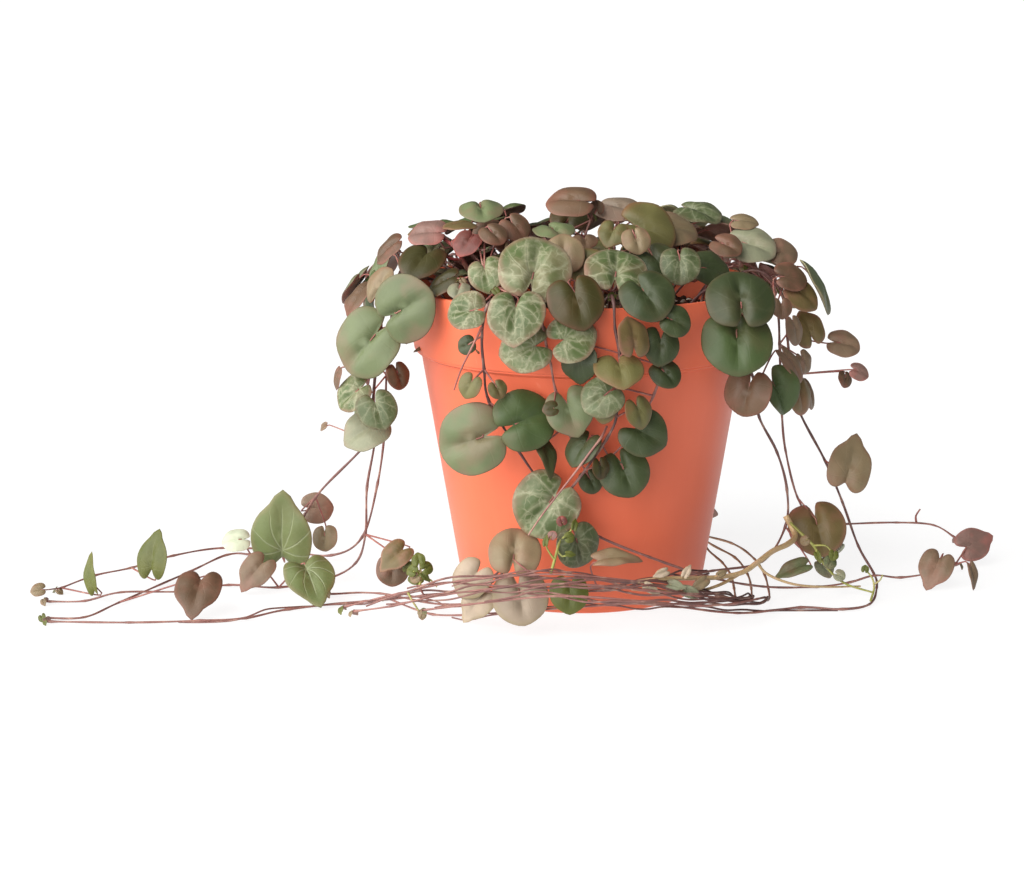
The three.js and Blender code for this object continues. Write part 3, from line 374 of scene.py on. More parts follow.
          (64.5, -26, 1.1), (63, -36, 3), (61.5, -43, 6), (58, -53, 8.5), (50, -63, 10),
          (38, -72, 12), (20, -79, 15.5), (0, -82, 18), (-14, -82.5, 18), (-36, -79, 14.5),
          (-50, -75, 11.5)),
         ((-8, 72, 80, 14, 185, 25, -30), (8, 73, 98, 13, 175, 35, 20),
          (20, 77, 10, 12, 175, 40, 60), (44, 68, 8, 11, 160, 42, 30)),
         "dark silver olive sage", bark=Bark.DRY, twined=2),
)


# ---- Small growth --------------------------------


@dataclass(frozen=True)
class Sprig:
    """A small young or dry shoot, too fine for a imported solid.

    Attributes:
        name: The piece's name.
        bark: The colour of its stems and stalks.
        lines: Each stem's radius at its foot, and its points.
        leaves: Its leaves, as a vine's.
        looks: One word for each leaf, as a vine's.
    """

    name: str
    bark: Bark
    lines: tuple[tuple[float, tuple[Point, ...]], ...]
    leaves: tuple[tuple[float, ...], ...] = ()
    looks: str = ""


SPRIGS = (
    Sprig("dry_runner", Bark.DRY,
          ((1.1, ((71, -11, 26), (74, -14, 20), (71, -22, 19), (65, -30, 18.6), (59, -38, 16.7),
                   (53.5, -44, 15), (45, -51, 15.4), (35.5, -59, 17.4), (27, -65, 19), (18, -70, 19.5))),
           (0.6, ((53.5, -44, 15), (46, -50, 12.6), (38, -59, 13), (29, -67, 15), (16, -74, 18))),
           (0.5, ((59, -38, 16.7), (63, -36, 12), (72, -34, 8), (84, -27, 5), (97, -16, 2)))),
          ((26, -67, 21.5, 5, 10, 20, -70), (30, -66, 17, 6, -10, 30, 80),
           (34, -63, 20.5, 4.5, 0, 25, 150), (39, -60, 16, 6.5, 15, 30, -60),
           (22, -71, 17.5, 5.5, 0, 20, 60), (46, -54, 17.5, 4, 20, 30, 110), (35, -64, 14, 7, 5, 30, 70)),
          "beige/narrow pale/narrow beige/narrow tan/narrow beige/narrow tan/narrow pale/narrow"),
    Sprig("front_shoot", Bark.SHOOT,
          ((0.55, ((-10, -72.5, 23), (-9, -70, 26), (-7.6, -66.5, 30.5), (-6.2, -64, 34), (-4, -62, 37.5))),
           (0.4, ((-7, -65, 32), (-4.6, -65.5, 34.2), (-2.8, -66, 36.4))),
           (0.4, ((-8.8, -69.5, 26.5), (-10.8, -69.5, 29.5), (-11.8, -69.5, 32))),
           (0.4, ((-8, -67.5, 29), (-6.4, -68.5, 27.5), (-4.6, -69, 28)))),
          ((-2.4, -67, 37.4, 4, 30, 30, 150), (-4, -67, 33.4, 3.4, 20, 20, 100),
           (-11.6, -70, 32.8, 3.6, -30, 30, 190), (-9.6, -68, 34.4, 3, -20, 30, 160),
           (-6.6, -65, 38.4, 3.2, 0, 20, 200), (-4, -70, 28.6, 3.4, 20, 20, 80)),
          "bright/narrow bright bright/narrow pink red bright/narrow"),
    Sprig("left_rosette", Bark.SHOOT,
          ((0.5, ((-53, -62.6, 15.4), (-52.8, -60, 18.5), (-53, -59, 22))),
           (0.4, ((-57, -62, 13.6), (-55, -64, 10.5), (-52.5, -66, 7.4))),
           (0.4, ((-52.8, -60, 18.5), (-49.5, -60, 17), (-47.5, -61, 15)))),
          ((-53.4, -60, 24, 4.4, 0, 30, 190), (-50.6, -60.5, 21.5, 4.2, 30, 30, 110),
           (-55.6, -60.5, 20.5, 4, -30, 30, -110), (-51.4, -61, 18.6, 3.8, 20, 20, 40),
           (-54.6, -61, 18, 3.4, -20, 20, -50), (-52, -66.6, 7, 2.6, 0, 20, 0)),
          "bright bright bright bright/narrow tan tan"),
    Sprig("right_shoot", Bark.SHOOT,
          ((0.55, ((71, -11, 25), (76, -16, 21), (80, -18.5, 17.4), (83, -19, 12.2), (87, -20, 7.4),
                   (92, -21, 4), (101, -22, 1.4))),
           (0.4, ((80, -18.5, 17.4), (84, -21, 18), (86, -22, 16))),
           (0.45, ((98.5, -32, 1.4), (100, -29, 5), (99.6, -27, 8), (97.6, -26, 10.5))),
           (0.35, ((99.8, -28, 6), (102, -28, 7.6), (103, -28, 9.6)))),
          ((81.5, -20, 14, 4.2, -20, 30, 30), (85.6, -21, 12, 4.6, 20, 30, -30),
           (89, -22, 7.6, 4, 0, 30, 60), (86.6, -22.6, 15, 3.6, 20, 20, -20),
           (97, -27, 11.4, 2.6, 0, 20, 170), (77, -18, 19, 3.4, -20, 20, -60)),
          "bright/narrow sage pale bright bright tan"),
    Sprig("ruddy_stalks", Bark.RUDDY,
          ((0.95, ((-37, -17, 111), (-40, -21, 117), (-41.5, -23, 121), (-44.5, -21, 123),
                    (-48, -18, 125))),
           (0.75, ((-41.5, -23, 121), (-39, -23.5, 123.5), (-35.5, -22, 125.5))),
           (0.6, ((-40, -21, 117), (-43.5, -24.5, 118), (-47.5, -25.5, 119.5)))),
          ((-42, -25, 123.5, 3.2, -10, 30, 180), (-38.6, -25, 121.5, 2.8, 20, 20, 60)), "red red"),
    Sprig("slanting_stem", Bark.YOUNG,
          ((0.42, ((8, -60, 68.5), (6.2, -64.5, 66), (2.6, -67, 61.6), (-2.6, -68.5, 54.8),
                   (-8.4, -69, 47.3), (-13.1, -69, 41), (-17.3, -68, 34.4))),)),
    Sprig("bare_stem", Bark.STALK,
          ((0.4, ((-32, -60.4, 101), (-35, -63, 95), (-38.5, -63.5, 88), (-41, -62.5, 81))),)),
    Sprig("short_twig", Bark.STALK, ((0.45, ((121.5, 20.6, 15.4), (121.2, 20, 18), (122.6, 19.6, 20.6))),)),
)


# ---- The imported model's sizes and rules ----------


@dataclass(frozen=True)
class PotSizes:
    """The nursery pot's outside, and its wall."""

    height: float = 107.0
    wall: float = 1.4
    floor: float = 2.4
    base_radius: float = 42.5
    base_edge: float = 1.2
    body_top: float = 83.2
    body_radius: float = 55.7
    band_foot: float = 85.0
    band_radius: float = 58.2
    rim_radius: float = 61.0
    lip: float = 1.2
    holes: int = 6
    hole_radius: float = 4.0
    hole_ring: float = 27.0

    def radius_at(self, z: Values) -> np.ndarray:
        """The outer radius at a height, or at each of many."""
        body = mix(self.base_radius, self.body_radius, z / self.body_top)
        band = mix(self.band_radius, self.rim_radius, (z - self.body_top) / (self.height - self.body_top))
        return np.where(z < self.body_top, body, band)


@dataclass(frozen=True)
class SoilSizes:
    """The potting soil's level, its low lumps and the gap to the pot."""

    top: float = 94.0
    bump: float = 1.1
    gap: float = 0.35


POT = PotSizes()
SOIL = SoilSizes()
SEED = 20240
SIDES = (-1, 1)

STEM_FLOOR = 0.95  # the least height of a stem's middle
STEM_BUD = 2.0  # how far a stem goes on past its last node
ROOT_DEPTH, ROOT_RISE = 9.0, 2.0  # how far a stem stands in the soil, and straight out of it
STALK_RUN, STALK_RISE = 0.3, 0.5  # how far before and beneath the notch a stalk bends
STALK_STRAIGHT = 12.0  # a stalk shorter than this is straight

BLADE_THICKNESS, BLADE_WIDTH, BLADE_FOLD, BLADE_CUP = 1.7, 1.06, 0.1, 0.2
BLADE_REACH = 0.62  # the furthest of its edge from its middle, for a length of 1
TIP, TIP_SPREAD, NOTCH, NOTCH_SPREAD = 0.16, 0.3, 0.62, 0.24
LOBE, LOBE_AT, LOBE_SPREAD = 0.14, 2.45, 0.5

CLEAR_BLADE, CLEAR_STEM, CLEAR_STALK, CLEAR_WALL = 0.5, 1.4, 2.0, 0.8
CLEAR_NODE = 6.0  # a blade may come near its own stem this close to its node
CLEAR_SAMPLE = 3.0  # the step between the points that are tried
NEAR = 1.0  # the extra reach of the quick tests for what may touch
RIM_RUN, RIM_LEAST = 3.4, 10  # the way round a blade for a length of 1, and its fewest points
INNER, INNER_HALF = 0.55, 0.225  # a ring of points inside it, and half its thickness there
ASIDES, SHIFTS, TILTS = (0, 2, -2, 4, -4), (0, 2, -2, 4, -4, 6, -6, 8, 10), (0, 14, -14, 26)


@dataclass(frozen=True)
class CrownRule:
    """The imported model's rule for the short shoots that fill the crown from above and behind."""

    count: int = 15
    nodes: int = 2
    arc: Span = (-12, 192)  # where they stand round the pot, in degrees
    stray: float = 14  # how far they stray from that
    ring: Span = (6, 33)  # how far from the middle they root
    order: int = 7  # the step between shoots in which that grows
    lean: Span = (14, 24)  # how far out they lean
    foot: float = 6  # the height above the soil from which they rise
    top: Span = (114, 131)  # where they end
    droop: float = 0.25  # how much lower, for each millimetre from the middle
    leaf: Span = (13, 20)
    aside: Span = (0.3, 1.1)  # how far to its side a leaf looks, in radians
    reach: float = 0.75  # how far out its middle lies, for a length of 1
    above: Span = (2, 6)  # how far above its node
    elevation: Span = (48, 74)
    turn: Span = (-35, 35)

    def vines(self) -> list[Vine]:
        """The shoots, with two leaves at each node."""
        draw = draws(SEED)
        vines = []
        for i in range(self.count):
            angle = math.radians(mix(*self.arc, (i + 0.5) / self.count) + self.stray * (draw() - 0.5))
            ring = mix(*self.ring, ((i * self.order) % self.count) / (self.count - 1))
            out = (math.cos(angle), math.sin(angle))
            lean = mix(*self.lean, draw())
            top = mix(*self.top, draw()) - self.droop * ring
            route, leaves = [], []
            for node in range(1, self.nodes + 1):
                share = node / self.nodes
                away = ring + lean * share
                x, y, z = away * out[0], away * out[1], mix(SOIL.top + self.foot, top, share)
                route.append((x, y, z))
                for side in SIDES:
                    length = mix(*self.leaf, draw())
                    azimuth = angle + math.pi / 2 + side * mix(*self.aside, draw())
                    reach = self.reach * length
                    leaves.append((x + reach * math.sin(azimuth), y - reach * math.cos(azimuth),
                                   z + mix(*self.above, draw()), length, math.degrees(azimuth),
                                   mix(*self.elevation, draw()), mix(*self.turn, draw())))
            vines.append(Vine(f"vine_crown_back_{i + 1}", (ring * out[0], ring * out[1]), tuple(route),
                              tuple(leaves), "", radial=True))
        return vines


@dataclass(frozen=True)
class CurtainRule:
    """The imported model's rule for the vines that hang over the rim round the sides and back."""

    count: int = 12
    arc: Span = (6, 174)  # where they stand round the pot, in degrees
    ring: float = 42  # how far from the middle they root
    stagger: float = 8  # how much further every second one does
    lift: Span = (9, 108.5)  # how far out and how high they leave the soil
    arch: Span = (58, 111.5)  # the ring and height where they pass over the rim
    start: Span = (68, 104)  # the ring and height from which they hang
    inward: float = 0.09  # how far they come in again, for each millimetre
    drop: Span = (30, 96)  # how far they hang at the back
    spacing: Span = (14, 20)
    sway: float = 9  # how far a node may lie to the side
    leaf: Span = (12, 20)
    taper: float = 0.66  # the size of the lowest leaves against the highest
    aside: Span = (0.05, 0.45)  # how far to its side a leaf looks, in radians
    beside: Span = (0.42, 2)  # how far to the side it lies, for a length of 1 and beyond
    clear: float = 5  # how far out from the stem
    below: Span = (-2, 5)  # how far under its node
    elevation: Span = (12, 46)
    turn: Span = (5, 60)

    def vines(self) -> list[Vine]:
        """The vines, with two leaves at each node that hangs."""
        draw = draws(SEED + 1)
        vines = []
        for i in range(self.count):
            angle = math.radians(mix(*self.arc, i / (self.count - 1)))
            root = self.ring + self.stagger * ((i % 2) - 0.5)
            drop = mix(*self.drop, draw()) * math.sin(angle) ** 2
            route = [self._at(angle, root + self.lift[0], 0, self.lift[1]),
                     self._at(angle, self.arch[0], 0, self.arch[1])]
            leaves = []
            fall = 0.0
            while fall <= drop:
                ring = self.start[0] - self.inward * fall
                node = self._at(angle, ring, self.sway * (draw() - 0.5), self.start[1] - fall)
                route.append(node)
                taper = mix(1, self.taper, fall / self.drop[1])
                for side in SIDES:
                    length = taper * mix(*self.leaf, draw())
                    azimuth = angle + math.pi / 2 + side * mix(*self.aside, draw())
                    swing = side * (self.beside[0] * length + self.beside[1])
                    middle = self._at(angle, ring + self.clear, swing, node[2] - mix(*self.below, draw()))
                    leaves.append((*middle, length, math.degrees(azimuth),
                                   mix(*self.elevation, draw()), side * mix(*self.turn, draw())))
                fall += mix(*self.spacing, draw())
            vines.append(Vine(f"vine_curtain_{i + 1}", (root * math.cos(angle), root * math.sin(angle)),
                              tuple(route), tuple(leaves), "", radial=True))
        return vines

    @staticmethod
    def _at(angle: float, ring: float, swing: float, z: float) -> Point:
        """A point on a ring round the pot, `swing` along it from a vine's own direction."""
        turn = angle + swing / ring
        return ring * math.cos(turn), ring * math.sin(turn), z


# ---- Where stems and leaves go -------------------


def vec(*values: float) -> np.ndarray:
    """A point or direction as an array."""
    return np.array(values, float)


def unit(value: np.ndarray) -> np.ndarray:
    """A direction of length 1."""
    return value / math.sqrt(float(value @ value))


def smooth_path(nodes: Sequence[np.ndarray], step: float) -> np.ndarray:
    """Points along a smooth path through the nodes, every node among them.

    Args:
        nodes: The points that the path passes through.
        step: The longest way between two points.

    Returns:
        The points, one a row, none below the lowest height of a stem's middle.
    """
    points = [nodes[0]]
    for i in range(len(nodes) - 1):
        b, c = nodes[i], nodes[i + 1]
        a = nodes[i - 1] if i > 0 else b + (b - c)
        d = nodes[i + 2] if i + 2 < len(nodes) else c + (c - b)
        count = max(1, math.ceil(float(np.linalg.norm(c - b)) / step))
        for k in range(1, count + 1):
            t = k / count
            point = 0.5 * (2 * b + (c - a) * t + (2 * a - 5 * b + 4 * c - d) * t * t
                           + (3 * b - a - 3 * c + d) * t ** 3)
            point[2] = max(point[2], STEM_FLOOR)
            points.append(point)
    return np.array(points)


def stem_nodes(vine: Vine) -> list[np.ndarray]:
    """A vine's nodes from inside its hole in the soil to the bud past its last leaves."""
    route = [vec(*node) for node in vine.route]
    bud = route[-1] + STEM_BUD * unit(route[-1] - route[-2])
    return [vec(*vine.root, SOIL.top - ROOT_DEPTH), vec(*vine.root, SOIL.top + ROOT_RISE), *route, bud]


def heart(angle: Values, tip: float = TIP, notch: float = NOTCH,
          gap: float = NOTCH_SPREAD) -> Values:
    """The distance from a blade's middle to its edge, for a length of 1; angle 0 is the tip."""
    away = np.abs(angle)
    return 0.5 * (1 + tip * np.exp(-((away / TIP_SPREAD) ** 2))
                  + LOBE * np.exp(-(((away - LOBE_AT) / LOBE_SPREAD) ** 2))
                  - notch * np.exp(-(((away - math.pi) / gap) ** 2)))


@dataclass
class Leaf:
    """One heart leaf where it grows: its blade's middle and directions, and its stalk."""

    middle: np.ndarray
    length: float
    azimuth: float
    elevation: float
    turn: float
    route: np.ndarray
    look: str = ""

    @cached_property
    def axes(self) -> tuple[np.ndarray, np.ndarray, np.ndarray]:
        """The directions towards the tip, across the blade and out of its face."""
        a, e, t = (math.radians(x) for x in (self.azimuth, self.elevation, self.turn))
        face = vec(math.sin(a) * math.cos(e), -math.cos(a) * math.cos(e), math.sin(e))
        down = vec(math.sin(a) * math.sin(e), -math.cos(a) * math.sin(e), -math.cos(e))
        tip = down * math.cos(t) + np.cross(face, down) * math.sin(t)
        return tip, np.cross(face, tip), face

    def points(self, angle: Values, share: Values) -> np.ndarray:
        """Points of the blade, each a share of the way from its middle to its edge at an angle."""
        tip, across, face = self.axes
        reach = np.atleast_1d(share * self.length * heart(angle))
        x, y = reach * np.cos(angle), BLADE_WIDTH * reach * np.sin(angle)
        return self.middle + np.outer(x, tip) + np.outer(y, across) + np.outer(self._rise(x, y), face)

    def _rise(self, x: np.ndarray, y: np.ndarray) -> np.ndarray:
        """How far the blade rises from flat at a place along and across it."""
        return BLADE_FOLD * np.abs(y) - BLADE_CUP * (x * x + y * y) / self.length

    @cached_property
    def notch(self) -> np.ndarray:
        """Where the stalk meets the blade."""
        return self.points(math.pi, 1.0)[0]

    @cached_property
    def node(self) -> np.ndarray:
        """The stem's node that the leaf grows from."""
        return self.route[np.argmin(((self.route - self.notch) ** 2).sum(axis=1))]

    def stalk(self, step: float) -> np.ndarray:
        """Points along the stalk, from the node to the notch, which it meets from beneath."""
        tip, _, face = self.axes
        span = float(np.linalg.norm(self.node - self.notch))
        if span < STALK_STRAIGHT:
            return smooth_path([self.node, self.notch], step)
        run = STALK_RUN * min(span, self.length)
        return smooth_path([self.node, self.notch - run * tip - STALK_RISE * run * face, self.notch], step)

    @cached_property
    def samples(self) -> tuple[np.ndarray, np.ndarray]:
        """Points all over the blade, and half the blade's thickness at each."""
        count = max(RIM_LEAST, math.ceil(RIM_RUN * self.length / CLEAR_SAMPLE))
        angles = 2 * math.pi * np.arange(count) / count - math.pi
        inner = angles[::2]
        spots = np.vstack([self.middle, self.points(angles, 1.0), self.points(inner, INNER)])
        halves = np.concatenate([[BLADE_THICKNESS / 2], np.zeros(count),
                                 np.full(len(inner), INNER_HALF * BLADE_THICKNESS)])
        return spots, halves

    def touched(self, spots: np.ndarray, room: Values) -> np.ndarray:
        """Which of the spots lie within `room` of the blade."""
        tip, across, face = self.axes
        offset = spots - self.middle
        near = np.einsum("ij,ij->i", offset, offset) <= (BLADE_REACH * self.length + room + NEAR) ** 2
        if not near.any():
            return near
        x, y = offset @ tip, offset @ across
        ring = np.sqrt(x * x + (y / BLADE_WIDTH) ** 2)
        edge = self.length * heart(np.arctan2(y / BLADE_WIDTH, x))
        half = BLADE_THICKNESS / 2 * np.maximum(0, 1 - ring / edge)
        return near & (ring <= edge + room) & (np.abs(offset @ face - self._rise(x, y)) < room + half)


def clear_of_pot(spots: np.ndarray, room: Values) -> bool:
    """Whether every spot is clear of the floor, the pot and the soil by `room`."""
    z = spots[:, 2]
    ring = np.hypot(spots[:, 0], spots[:, 1])
    outer = POT.radius_at(z)
    inside = (z > SOIL.top + SOIL.bump + room) & (ring < outer - POT.wall - 1 - room)
    return bool(np.all((z >= room) & ((z > POT.height + room) | (ring > outer + room) | inside)))


class Foliage:
    """Sets every leaf where it crosses no other leaf, stem, stalk, wall or soil, else drops it."""

    def __init__(self, vines: Sequence[Vine]) -> None:
        """Keeps the stems' paths, which stay as they are."""
        self.vines = vines
        paths = [smooth_path(stem_nodes(vine), CLEAR_SAMPLE) for vine in vines]
        self.stems = np.vstack(paths)
        self.stem_owner = np.concatenate([np.full(len(path), i) for i, path in enumerate(paths)])
        self.stalks = np.zeros((0, 3))
        self.stalk_owner = np.zeros(0, int)
        self.placed: list[Leaf] = []
        count = sum(len(vine.leaves) for vine in vines)
        self.middles, self.lengths = np.zeros((count, 3)), np.zeros(count)

    def settle(self) -> dict[str, list[Leaf]]:
        """Places the leaves, vine by vine.

        Returns:
            For each vine's name, the leaves that found room.
        """
        found: dict[str, list[Leaf]] = {}
        for owner, vine in enumerate(self.vines):
            looks = vine.looks.split() or [""] * len(vine.leaves)
            route = np.array(vine.route, float)
            found[vine.name] = []
            for place, look in zip(vine.leaves, looks, strict=True):
                leaf = self._room_for(vine.radial, route, owner, place)
                if leaf is not None:
                    leaf.look = look
                    found[vine.name].append(leaf)
        return found

    def _room_for(self, radial: bool, route: np.ndarray, owner: int,
                  place: tuple[float, ...]) -> Leaf | None:
        """The leaf at the first shift and tilt that leaves it clear, or None."""
        x, y, z, length, azimuth, elevation, turn = place
        ring = math.hypot(x, y)
        out = vec(x / ring, y / ring, 0) if radial else vec(0, -1, 0)
        along = vec(-out[1], out[0], 0)
        for aside, shift, tilt in product(ASIDES, SHIFTS, TILTS):
            middle = vec(x, y, z) + shift * out + aside * along
            leaf = Leaf(middle, length, azimuth, elevation + tilt, turn, route)
            if self._fits(leaf, owner):
                stalk = leaf.stalk(CLEAR_SAMPLE)[1:]
                self.middles[len(self.placed)], self.lengths[len(self.placed)] = middle, length
                self.placed.append(leaf)
                self.stalks = np.vstack([self.stalks, stalk])
                self.stalk_owner = np.concatenate([self.stalk_owner, np.full(len(stalk), owner)])
                return leaf
        return None

    def _fits(self, leaf: Leaf, owner: int) -> bool:
        """Whether a leaf and its stalk are clear of everything placed so far."""
        spots, halves = leaf.samples
        stalk = leaf.stalk(CLEAR_SAMPLE)
        if not clear_of_pot(spots, CLEAR_WALL + halves) or not clear_of_pot(stalk, CLEAR_WALL):
            return False
        for other in self._around(leaf.middle, BLADE_REACH * leaf.length + 2 * NEAR):
            others, other_halves = other.samples
            if (other.touched(spots, CLEAR_BLADE + halves).any()
                    or leaf.touched(others, CLEAR_BLADE + other_halves).any()):
                return False
        apart = np.linalg.norm(self.stems - leaf.node, axis=1) > CLEAR_NODE
        if (leaf.touched(self.stems, CLEAR_STEM) & ((self.stem_owner != owner) | apart)).any():
            return False
        if leaf.touched(self.stalks, CLEAR_STEM).any():
            return False
        low, high = stalk.min(axis=0), stalk.max(axis=0)
        span = float(np.linalg.norm(high - low)) / 2 + CLEAR_STEM + NEAR
        around = self._around((low + high) / 2, span)
        if any(other.touched(stalk[1:], CLEAR_STEM).any() for other in around):
            return False
        return not (self._close(stalk, self.stems[self.stem_owner != owner])
                    or self._close(stalk, self.stalks[self.stalk_owner != owner]))

    def _around(self, middle: np.ndarray, room: float) -> Iterator[Leaf]:
        """The leaves placed so far whose blades may reach within `room` of a point."""
        if not self.placed:
            return
        gaps = np.linalg.norm(self.middles[:len(self.placed)] - middle, axis=1)
        for i in np.flatnonzero(gaps <= BLADE_REACH * self.lengths[:len(self.placed)] + room):
            yield self.placed[i]

    @staticmethod
    def _close(stalk: np.ndarray, others: np.ndarray) -> bool:
        """Whether a stalk comes closer than it may to any of the other points."""
        low, high = stalk.min(axis=0) - CLEAR_STALK, stalk.max(axis=0) + CLEAR_STALK
        around = others[np.all((others > low) & (others < high), axis=1)]
        if not len(around):
            return False
        return bool((np.linalg.norm(stalk[:, None] - around[None], axis=2) < CLEAR_STALK).any())


# ---- Nodes ---------------------------------------


def maths(operation: str, reflected: bool = False) -> Callable[..., "Wire"]:
    """An operator or method of a wire that adds one Math node.

    Args:
        operation: The node's operation.
        reflected: Whether the other value comes before the wire.

    Returns:
        The operator or method.
    """

    def method(self: "Wire", *others: "Wire | float") -> "Wire":
        """Adds the node and gives its output."""
        values = (*others, self) if reflected else (self, *others)
        return self.nodes.add("ShaderNodeMath", {"operation": operation}, dict(enumerate(values)))

    return method


class Wire:
    """One output socket of a node, on which arithmetic adds Math nodes."""

    def __init__(self, nodes: "Nodes", socket: bpy.types.NodeSocket) -> None:
        """Wraps a socket of the given node tree."""
        self.nodes, self.socket = nodes, socket

    __add__ = __radd__ = maths("ADD")
    __sub__, __rsub__ = maths("SUBTRACT"), maths("SUBTRACT", reflected=True)
    __mul__ = __rmul__ = maths("MULTIPLY")
    __pow__ = maths("POWER")
    size, sine, larger = maths("ABSOLUTE"), maths("SINE"), maths("MAXIMUM")
    angle_from = maths("ARCTAN2")  # the angle whose tangent is this value over the other

    def clamped(self) -> "Wire":
        """The value held between 0 and 1."""
        return self.nodes.add("ShaderNodeMath", {"operation": "ADD", "use_clamp": True}, {0: self, 1: 0.0})

    def rise(self, low: float, high: float) -> "Wire":
        """A smooth rise from 0 at `low` to 1 at `high`."""
        return self.nodes.add("ShaderNodeMapRange", {"interpolation_type": "SMOOTHSTEP"},
                              {"Value": self, "From Min": low, "From Max": high})

    def offset(self, other: "Wire | Colour") -> "Wire":
        """The vector sum."""
        return self.nodes.add("ShaderNodeVectorMath", {"operation": "ADD"}, {0: self, 1: other})

    def scaled(self, factor: "Wire | float") -> "Wire":
        """The vector times a number."""
        return self.nodes.add("ShaderNodeVectorMath", {"operation": "SCALE"}, {0: self, "Scale": factor})

    def axis(self, index: int) -> "Wire":
        """One coordinate of a vector."""
        return self.nodes.add("ShaderNodeSeparateXYZ", {}, {0: self}, index)


class Nodes:
    """A node tree that is filled through one node-making method."""

    def __init__(self, tree: bpy.types.NodeTree) -> None:
        """Wraps a shader or geometry node tree."""
        self.tree = tree

    def add(self, kind: str, settings: dict | None = None, values: dict | None = None,
            output: int | str = 0) -> Wire:
        """Adds a node.

        Args:
            kind: The node's type.
            settings: Its own settings, such as a Math node's operation, which are set first.
            values: A value or a Wire for each input, by its name or number.
            output: The name or number of the output that is wanted.

        Returns:
            The wanted output.
        """
        node = self.tree.nodes.new(kind)
        for name, value in (settings or {}).items():
            setattr(node, name, value)
        for key, value in (values or {}).items():
            if isinstance(value, Wire):
                self.tree.links.new(value.socket, node.inputs[key])
            elif isinstance(node.inputs[key], bpy.types.NodeSocketColor):
                node.inputs[key].default_value = (*value, 1.0)
            else:
                node.inputs[key].default_value = value
        return Wire(self, node.outputs[output]) if node.outputs else Wire(self, None)

    def blend(self, share: Wire | float, low: Wire | Colour, high: Wire | Colour) -> Wire:
        """A colour between two others."""
        values = {0: share, 6: low, 7: high}
        return self.add("ShaderNodeMix", {"data_type": "RGBA", "clamp_factor": True}, values, 2)

    def noise(self, where: Wire, scale: float, detail: float = 3.0, output: str = "Fac") -> Wire:
        """Smooth noise, about 0.5 in the middle."""
        values = {"Vector": where, "Scale": scale, "Detail": detail}
        return self.add("ShaderNodeTexNoise", {}, values, output)

    def attribute(self, name: str, output: str = "Vector") -> Wire:
        """An attribute of the mesh."""
        return self.add("ShaderNodeAttribute", {"attribute_name": name}, {}, output)

    def named(self, name: str, kind: str) -> Wire:
        """A point's own attribute, in a geometry tree."""
        return self.add("GeometryNodeInputNamedAttribute", {"data_type": kind}, {"Name": name})

    def place(self) -> Wire:
        """Where a point lies on its piece, in metres."""
        return self.add("ShaderNodeTexCoord", output="Object")

    def strewn(self, points: Wire, stock: Wire, finish: Wire, values: dict[str, Wire]) -> Wire:
        """Copies of a stock's pieces on points, as plain mesh.

        Args:
            points: The points.
            stock: The collection that holds the pieces.
            finish: The copies' material.
            values: The copies' turns and scales, and any index that picks the piece.

        Returns:
            The copies.
        """
        pieces = self.add("GeometryNodeCollectionInfo", {}, {
            "Collection": stock, "Separate Children": True, "Reset Children": True})
        made = self.add("GeometryNodeInstanceOnPoints", {}, {
            "Points": points, "Instance": pieces, "Pick Instance": True, **values})
        made = self.add("GeometryNodeRealizeInstances", {}, {"Geometry": made})
        return self.add("GeometryNodeSetMaterial", {}, {"Geometry": made, "Material": finish})


Sockets = dict[str, Wire | float | Colour]


class Finish:
    """The base of every finish: one material with a Principled shader."""

    name = "finish"
    roughness = 0.5
    specular = 0.5
    relief = (0.0, 0.0)  # how deep its bumps are, in metres, and how strong

    def material(self) -> bpy.types.Material:
        """Builds the material, or gives it back if it is built already."""
        known = bpy.data.materials.get(self.name)
        if known:
            return known
        made = bpy.data.materials.new(self.name)
        made.use_nodes = True
        made.node_tree.nodes.clear()
        nodes = Nodes(made.node_tree)
        values = {"Roughness": self.roughness, "Specular IOR Level": self.specular, **self.surface(nodes)}
        if "Height" in values:
            bump = {"Height": values.pop("Height"), "Distance": self.relief[0], "Strength": self.relief[1]}
            values["Normal"] = nodes.add("ShaderNodeBump", {}, bump, "Normal")
        shader = nodes.add("ShaderNodeBsdfPrincipled", {}, values)
        nodes.add("ShaderNodeOutputMaterial", {}, {"Surface": shader})
        return made

    def surface(self, nodes: Nodes) -> Sockets:
        """What the shader's sockets get, and the height of its bumps."""
        raise NotImplementedError


